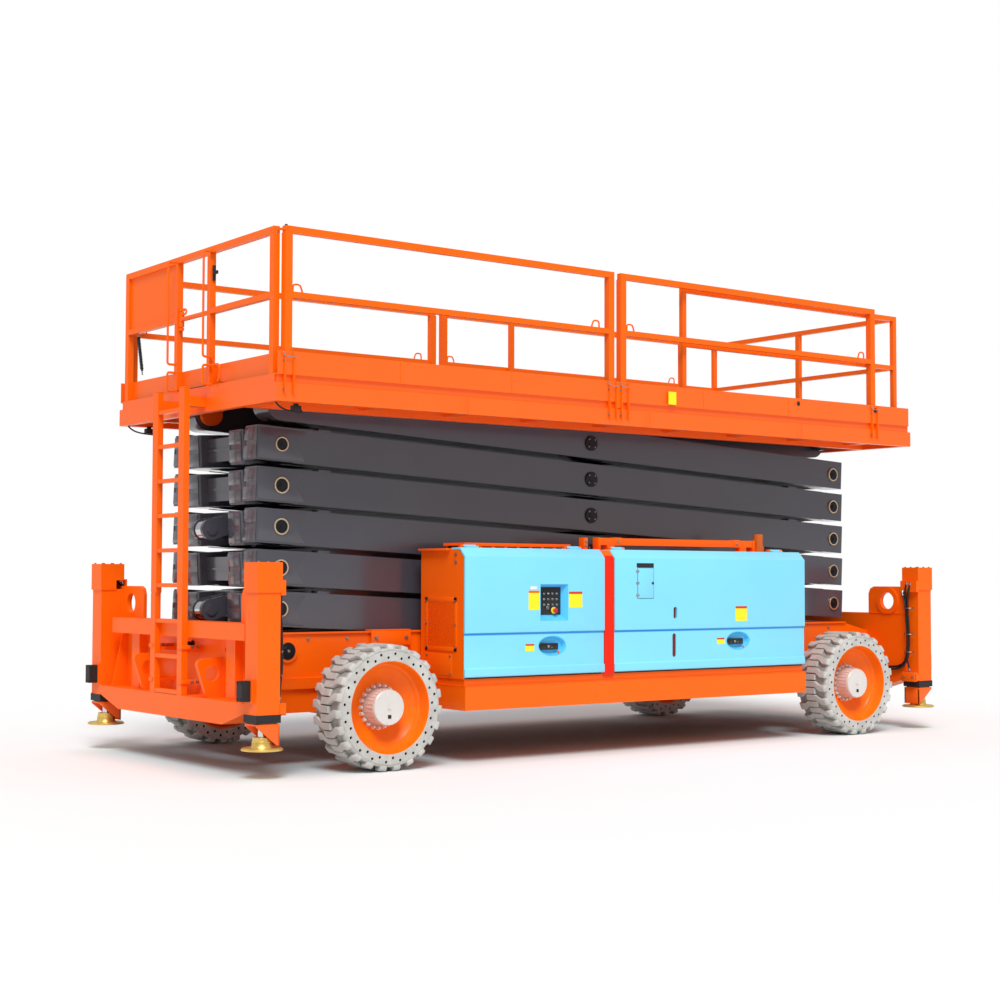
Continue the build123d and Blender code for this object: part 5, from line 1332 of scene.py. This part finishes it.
class LadderParts(bpy.types.Operator):
    """Clamps with bolts, stile caps, rung grip strips and the plug beside the ladder"""
    bl_idname = "lift.ladder_parts"
    bl_label = "Ladder parts"

    def execute(self, context):
        y0, y1 = -0.235, 0.315
        clamps, bolts = [], []
        for z in (0.900, 0.636):
            for y in (y0 + 0.02, y1 - 0.02):
                clamps.append(slab(-3.678, -3.604, y - 0.034, y + 0.034, z - 0.016, z + 0.016, 0.004))
                clamps.append(slab(-3.604, -FRAME_X, y - 0.012, y + 0.012, z - 0.014, z + 0.014, 0.002))
                bolts.append(bolt((-3.575, y - 0.012, z), (0, -1, 0), 0.010))
                bolts.append(bolt((-3.530, y - 0.012, z), (0, -1, 0), 0.010))
        finish(joined(clamps), "ladder_clamps", "orange_low", "chassis")
        finish(joined(bolts), "ladder_clamp_bolts", "bolt", "chassis")
        plug = joined([disc((-FRAME_X, -0.060, 0.918), (-1, 0, 0), 0.020, 0.05, 20, 0.004),
                       disc((-FRAME_X, -0.060, 0.918), (-1, 0, 0), 0.030, 0.008, 20, 0.002)])
        finish(plug, "frame_plug", "rubber", "chassis")
        eyes, eye_bolts = [], []
        for y, z in ((0.326, 0.890), (0.175, 0.613), (0.60, 0.890), (-0.40, 0.60), (-0.62, 0.89)):
            eyes.append(disc((-FRAME_X, y, z), (-1, 0, 0), 0.019, 0.010, 20, 0.002))
            eye_bolts.append(bolt((-3.4965, y, z), (-1, 0, 0), 0.011))
        finish(joined(eyes), "frame_bosses", "orange_low", "chassis")
        finish(joined(eye_bolts), "frame_bolts", "orange_low", "chassis")
        for name, zs, body, w in (("platform", [2.733 - 0.272 * i for i in range(6)], "platform", 0.090),
                                  ("chassis", [0.552 + 0.272 * i for i in range(3)], "chassis", 0.078)):
            grips = []
            for z in zs:
                for x in (-3.662, -3.646, -3.630):
                    grips.append(slab(x - 0.003, x + 0.003, y0 + w + 0.012, y1 - w - 0.012, z + 0.009,
                                      z + 0.0165, 0.001, 1))
            finish(joined(grips), f"rung_grips_{name}", "orange_low" if body == "chassis" else "orange", body)
        caps = []
        for y in (y0, y1 - 0.090):
            caps.append(slab(-3.672, -3.6195, y - 0.002, y + 0.092, 2.898, 2.906, 0.002))
        finish(joined(caps), "stile_caps", "orange", "platform")
        joint_plates = []
        for y in (y0 + 0.045, y1 - 0.045):
            joint_plates.append(slab(-3.6195, -3.6150, y - 0.030, y + 0.030, 1.325, 1.40, 0.001))
            joint_plates.append(slab(-3.6685, -3.6235, y - 0.043, y + 0.043, 1.3102, 1.3190, 0.0))
        finish(joined(joint_plates), "stile_joint_plates", "orange", "platform")
        return {"FINISHED"}


class PlatformParts(bpy.types.Operator):
    """Grab loops, sockets, latch pins, gate hook, ribbed strut, seams and lanyard eyes on the platform"""
    bl_idname = "lift.platform_parts"
    bl_label = "Platform parts"

    def execute(self, context):
        fx = -3.480
        loops = []
        for y in (-0.300, 0.316):
            for za, zb in ((3.14, 3.965), (2.925, 3.075)):
                r = min(0.045, (zb - za) / 3)
                loops.append(bent([(fx + 0.004, y, za), (fx - 0.03, y, za), (fx - 0.07, y, za),
                                   (fx - 0.07, y, za + r), (fx - 0.07, y, (za + zb) / 2),
                                   (fx - 0.07, y, zb - r), (fx - 0.07, y, zb), (fx - 0.03, y, zb),
                                   (fx + 0.004, y, zb)], 0.0095, 10))
        # feet that carry the loops beside the right gate post, and the loop on the toe board
        for z in (3.14, 3.965, 2.925, 3.075):
            loops.append(slab(fx - 0.002, fx + 0.010, -0.310, -0.272, z - 0.010, z + 0.010, 0.002))
        loops.append(bent([(fx + 0.050, -0.345, 3.070), (fx + 0.020, -0.345, 3.070),
                           (fx - 0.012, -0.350, 3.070), (fx - 0.012, -0.40, 3.074),
                           (fx - 0.012, -0.45, 3.070),
                           (fx - 0.012, -0.47, 3.04), (fx - 0.012, -0.47, 2.99), (fx - 0.012, -0.46, 2.945),
                           (fx - 0.012, -0.42, 2.940), (fx + 0.050, -0.42, 2.940)], 0.0085, 10))
        finish(joined(loops), "grab_loops", "orange", "platform")
        # sockets at the foot of each corner post, with bolts
        sockets, bolts, pins = [], [], []
        for x0, w in ((-3.420, 0.060), (-0.331, 0.060), (-0.199, 0.060), (2.936, 0.060)):
            for dx in (-0.012, w + 0.002):
                sockets.append(slab(x0 + dx, x0 + dx + 0.010, 1.337, 1.372, 2.765, 3.075, 0.002))
            for z in (2.800, 3.010):
                for dx, d in ((-0.012, -1), (w + 0.012, 1)):
                    bolts.append(bolt((x0 + dx, 1.358, z), (d, 0, 0), 0.008))
            pins.append(bent([(x0 - 0.02, 1.366, 3.060), (x0 - 0.028, 1.372, 3.085),
                              (x0 - 0.02, 1.374, 3.045),
                              (x0 + 0.02, 1.376, 3.040), (x0 + w + 0.016, 1.376, 3.040)], 0.0042, 8))
        sockets.append(slab(-0.262, -0.208, 1.336, 1.3575, 2.860, 3.083, 0.002))
        for o, name, mat in ((joined(sockets), "rail_sockets", "orange"),
                             (joined(bolts), "socket_bolts", "bolt"), (joined(pins), "socket_pins", "steel")):
            finish(mirrored(o), name, mat, "platform")
        # link rods with black plugs between the front rail and the side rails
        rods, plugs, keys = [], [], []
        for sy in (-1.0, 1.0):
            rods.append(disc((-3.452, sy * 1.262, 3.982), (0.55, sy * 1.0, 0.0), 0.010, 0.10, 12, 0.001))
            rods.append(slab(-3.425, -3.395, sy * 1.318, sy * 1.348, 3.970, 3.994, 0.003))
            plugs.append(disc((-3.410, sy * 1.333, 3.994), (0, 0, 1), 0.011, 0.020, 14, 0.002))
            keys.append(disc((-3.452, sy * 1.270, 3.962), (0, 0, -1), 0.010, 0.014, 12, 0.002))
        finish(joined(rods), "rail_links", "orange", "platform")
        finish(joined(plugs), "rail_link_plugs", "rubber", "platform")
        finish(joined(keys), "rail_link_keys", "steel", "platform")
        # gate hook and black latch
        hook = bent([(-3.455, 0.240, 3.535), (-3.455, 0.200, 3.535), (-3.455, 0.180, 3.550),
                     (-3.455, 0.185, 3.575), (-3.455, 0.215, 3.580), (-3.455, 0.225, 3.565)], 0.0075, 10)
        finish(hook, "gate_hook", "orange", "gate")
        latch = joined([slab(-3.462, -3.438, -0.292, -0.274, 3.74, 3.86, 0.004),
                        slab(-3.466, -3.448, -0.352, -0.292, 3.785, 3.812, 0.004)])
        finish(latch, "gate_latch", "rubber", "platform")
        # ribbed strut under the sheet panel
        ribs = [disc((-3.445, 1.092, 3.452), (0.02, -0.04, -0.30), 0.010, 0.29, 14, 0.001)]
        a, b = Vector((-3.445, 1.092, 3.452)), Vector((-3.427, 1.056, 3.175))
        for i in range(22):
            c = a.lerp(b, i / 22)
            ribs.append(disc(c, b - a, 0.0155, 0.007, 14, 0.0015))
        finish(joined(ribs), "strut_boot", "rubber", "platform")
        ends = joined([disc(b, b - a, 0.006, 0.045, 10, 0.0005), disc(a, a - b, 0.007, 0.03, 10, 0.0005)])
        finish(ends, "strut_ends", "steel", "platform")
        # lanyard eyes on the mid rails
        eyes = []
        for x in (-3.345, -0.42, -0.115, 2.86):
            s = 1.0 if x in (-3.345, -0.115) else -1.0
            eyes.append(bent([(x, 1.322, 3.522), (x, 1.322, 3.568), (x + s * 0.012, 1.322, 3.582),
                              (x + s * 0.055, 1.322, 3.582),
                              (x + s * 0.070, 1.322, 3.565), (x + s * 0.082, 1.322, 3.522)], 0.0070, 10))
        finish(mirrored(joined(eyes)), "lanyard_eyes", "orange", "platform")
        # toe board and band seams
        seams = []
        for x in (-2.42, -1.36, 0.74, 1.80):
            seams.append(bead((x, 1.3555, 2.915), (x, 1.3555, 3.080), 0.0025))
        for x in (-1.80, 0.10, 1.95):
            seams.append(bead((x, 1.3765, 2.722), (x, 1.3765, 2.848), 0.0028))
        seams.append(bead((-3.46, 1.3465, 2.8545), (3.46, 1.3465, 2.8545), 0.0035))
        finish(mirrored(joined(seams)), "deck_seams", "orange", "platform")
        # black grip strip at the entry
        strip = [slab(-3.4795, -3.4300, -0.222, 0.289, 2.9215, 2.9265, 0.001)]
        for i in range(5):
            strip.append(slab(-3.476 + i * 0.0095, -3.472 + i * 0.0095, -0.220, 0.287, 2.9265, 2.9285, 0.0005,
                              1))
        finish(joined(strip), "entry_strip", "rubber", "platform")
        finish(slab(0.31, 0.40, -1.3770, -1.3762, 2.925, 3.035, 0.0), "label_toe_board", "yellow", "platform")
        # drain holes in the toe boards: thin black discs, painted shade in place of open holes, each with a
        # ring
        holes, rings = [], []
        for x in (1.93, 2.98):
            holes.append(disc((x, 1.3552, 3.035), (0, 1, 0), 0.022, 0.0010, 24, 0.0))
            rings.append(ring_of(x, 1.3550, 0.027, 0.022, 0.003))
            rings[-1].data.transform(Matrix.Translation((0, 0, 3.035)))
        finish(mirrored(joined(holes)), "toe_board_holes", "rubber", "platform")
        finish(mirrored(joined(rings)), "toe_board_rings", "orange", "platform")
        # work light with its lead under each front corner
        lamp = joined([slab(-3.30, -3.235, 1.215, 1.275, 2.655, 2.700, 0.006, 3),
                       slab(-3.285, -3.25, 1.235, 1.255, 2.700, 2.716, 0.002)])
        lead = bent([(-3.235, 1.245, 2.680), (-3.20, 1.245, 2.650), (-3.27, 1.252, 2.652),
                     (-3.38, 1.260, 2.665), (-3.44, 1.265, 2.700), (-3.45, 1.265, 2.718)], 0.0065, 8)
        finish(mirrored(lamp), "corner_lamps", "rubber", "platform")
        finish(mirrored(lead), "corner_lamp_leads", "hose", "platform")
        return {"FINISHED"}


class ChassisParts(bpy.types.Operator):
    """Pin covers, doublers, bolts, seams, roof vent and the square bar's clamps"""
    bl_idname = "lift.chassis_parts"
    bl_label = "Chassis parts"

    def execute(self, context):
        darks, bolts = [], []
        darks.append(disc((-3.085, 0.836, 0.880), (0, 1, 0), 0.066, 0.006, 40, 0.003))
        darks.append(disc((-3.085, 0.842, 0.880), (0, 1, 0), 0.040, 0.004, 28, 0.002))
        bolts.append(bolt((-3.085, 0.847, 0.880), (0, 1, 0), 0.012, False))
        finish(mirrored(joined(darks)), "chassis_pin_covers", "dark_bolt", "chassis")
        finish(mirrored(joined(bolts)), "chassis_pin_bolts", "bolt", "chassis")
        plates, heads = [], []
        for x in (-2.16, 2.16):
            plates.append(slab(x - 0.185, x + 0.185, 0.755, 0.850, 1.0195, 1.0295, 0.003))
            plates.append(slab(x - 0.185, x + 0.185, 0.8385, 0.850, 0.905, 1.0195, 0.003))
            for dx in (-0.14, 0.14):
                heads.append(bolt((x + dx, 0.850, 0.965), (0, 1, 0), 0.013))
        for x in (-2.9, -2.55, 2.55, 2.9):
            heads.append(bolt((x, 0.8205, 0.965), (0, 1, 0), 0.010))
        finish(mirrored(joined(plates)), "flange_doublers", "orange_low", "chassis")
        finish(mirrored(joined(heads)), "flange_bolts", "bolt", "chassis")
        seams = [bead((-3.12, 0.8225, 1.0065), (3.12, 0.8225, 1.0065), 0.0045),
                 bead((-3.44, 0.8225, 0.6735), (3.44, 0.8225, 0.6735), 0.0045),
                 bead((-1.88, 1.4725, 0.603), (1.878, 1.4725, 0.603), 0.003)]
        for x in (-1.886, 1.882):
            seams.append(bead((x, 0.87, 0.603), (x, 1.46, 0.603), 0.003))
        finish(mirrored(joined(seams)), "chassis_seams", "orange_low", "chassis")
        # roof vent: dark slots under the lid with small spacers
        gap = slab(-1.672, -0.648, -1.172, -0.918, 1.6685, 1.6935, 0.0)
        finish(gap, "vent_mesh", "rubber", "chassis")
        spacers = []
        for i in range(9):
            x = -1.66 + i * 0.1255
            spacers.append(slab(x - 0.012, x + 0.012, -1.186, -1.170, 1.6685, 1.6935, 0.001))
        for i in range(5):
            x = -1.66 + i * 0.251
            spacers.append(slab(x - 0.012, x + 0.012, -0.920, -0.904, 1.6685, 1.6935, 0.001))
        spacers.append(slab(-1.70, -0.62, -1.194, -1.188, 1.688, 1.716, 0.002))
        finish(joined(spacers), "vent_spacers", "orange_low", "chassis")
        # square bar: clamp bracket, collar and bolts
        clamp = [slab(-0.322, -0.298, -1.200, -1.120, 1.6695, 1.778, 0.003),
                 slab(-0.46, -0.322, -1.190, -1.130, 1.6695, 1.679, 0.002),
                 slab(-0.475, -0.435, -1.195, -1.125, 1.679, 1.775, 0.003),
                 slab(1.498, 1.52, -1.20, -1.12, 1.6695, 1.778, 0.003),
                 slab(-0.14, -0.06, -1.194, -1.126, 1.712, 1.781, 0.003),
                 slab(1.26, 1.34, -1.194, -1.126, 1.712, 1.781, 0.003)]
        finish(joined(clamp), "bar_clamps", "orange_low", "chassis")
        cb = [bolt((-0.454, -1.195, 1.745), (0, -1, 0), 0.010),
              bolt((-0.454, -1.195, 1.705), (0, -1, 0), 0.010)]
        cb += [bolt((x, -1.194, 1.746), (0, -1, 0), 0.009) for x in (-0.10, 1.30)]
        finish(joined(cb), "bar_clamp_bolts", "bolt", "chassis")
        # roof edge flange at the front end
        edge = slab(-1.92, -1.886, 0.86, 1.262, 1.650, 1.668, 0.003)
        finish(mirrored(edge), "roof_flange", "orange_low", "chassis")
        return {"FINISHED"}


class StackParts(bpy.types.Operator):
    """Stop blocks between the arms"""
    bl_idname = "lift.stack_parts"
    bl_label = "Arm stack parts"

    def execute(self, context):
        for k in range(1, 6):
            blocks = []
            for x in (0.385, 5.62):
                blocks.append(slab(x - 0.055, x + 0.055, 0.60, 0.700, 0.1325, 0.1545, 0.004))
            o = mirrored(joined(blocks))
            place_on_arm(o, k, True)
            finish(o, f"stop_blocks_{k}", "grey", f"outer_{k}")
        return {"FINISHED"}


CLASSES = [LiftLooks, Finishes, Stage, Tyres, WheelParts, ArmParts, CabinetParts, Doors, ControlPanel,
           EndParts,
           LadderParts, PlatformParts, ChassisParts, StackParts]
STEPS = ["finishes", "tyres", "wheel_parts", "arm_parts", "cabinet_parts", "doors", "control_panel",
         "end_parts",
         "ladder_parts", "platform_parts", "chassis_parts", "stack_parts", "stage"]


class LiftPanel(bpy.types.Panel):
    """Buttons for every step of the scissor lift's looks"""
    bl_idname = "VIEW3D_PT_lift_looks"
    bl_label = "Scissor lift"
    bl_space_type = "VIEW_3D"
    bl_region_type = "UI"
    bl_category = "Lift"

    def draw(self, context):
        s = context.scene.lift_looks
        for name in ("orange", "lug_count", "lug_height", "lens_mm", "sun", "sky"):
            self.layout.prop(s, name)
        for step in STEPS:
            self.layout.operator("lift." + step)


def register():
    for c in CLASSES + [LiftPanel]:
        bpy.utils.register_class(c)
    bpy.types.Scene.lift_looks = bpy.props.PointerProperty(type=LiftLooks)


def unregister():
    del bpy.types.Scene.lift_looks
    for c in reversed(CLASSES + [LiftPanel]):
        bpy.utils.unregister_class(c)


def main():
    register()
    for step in STEPS:
        getattr(bpy.ops.lift, step)()


if __name__ == "__main__":
    main()
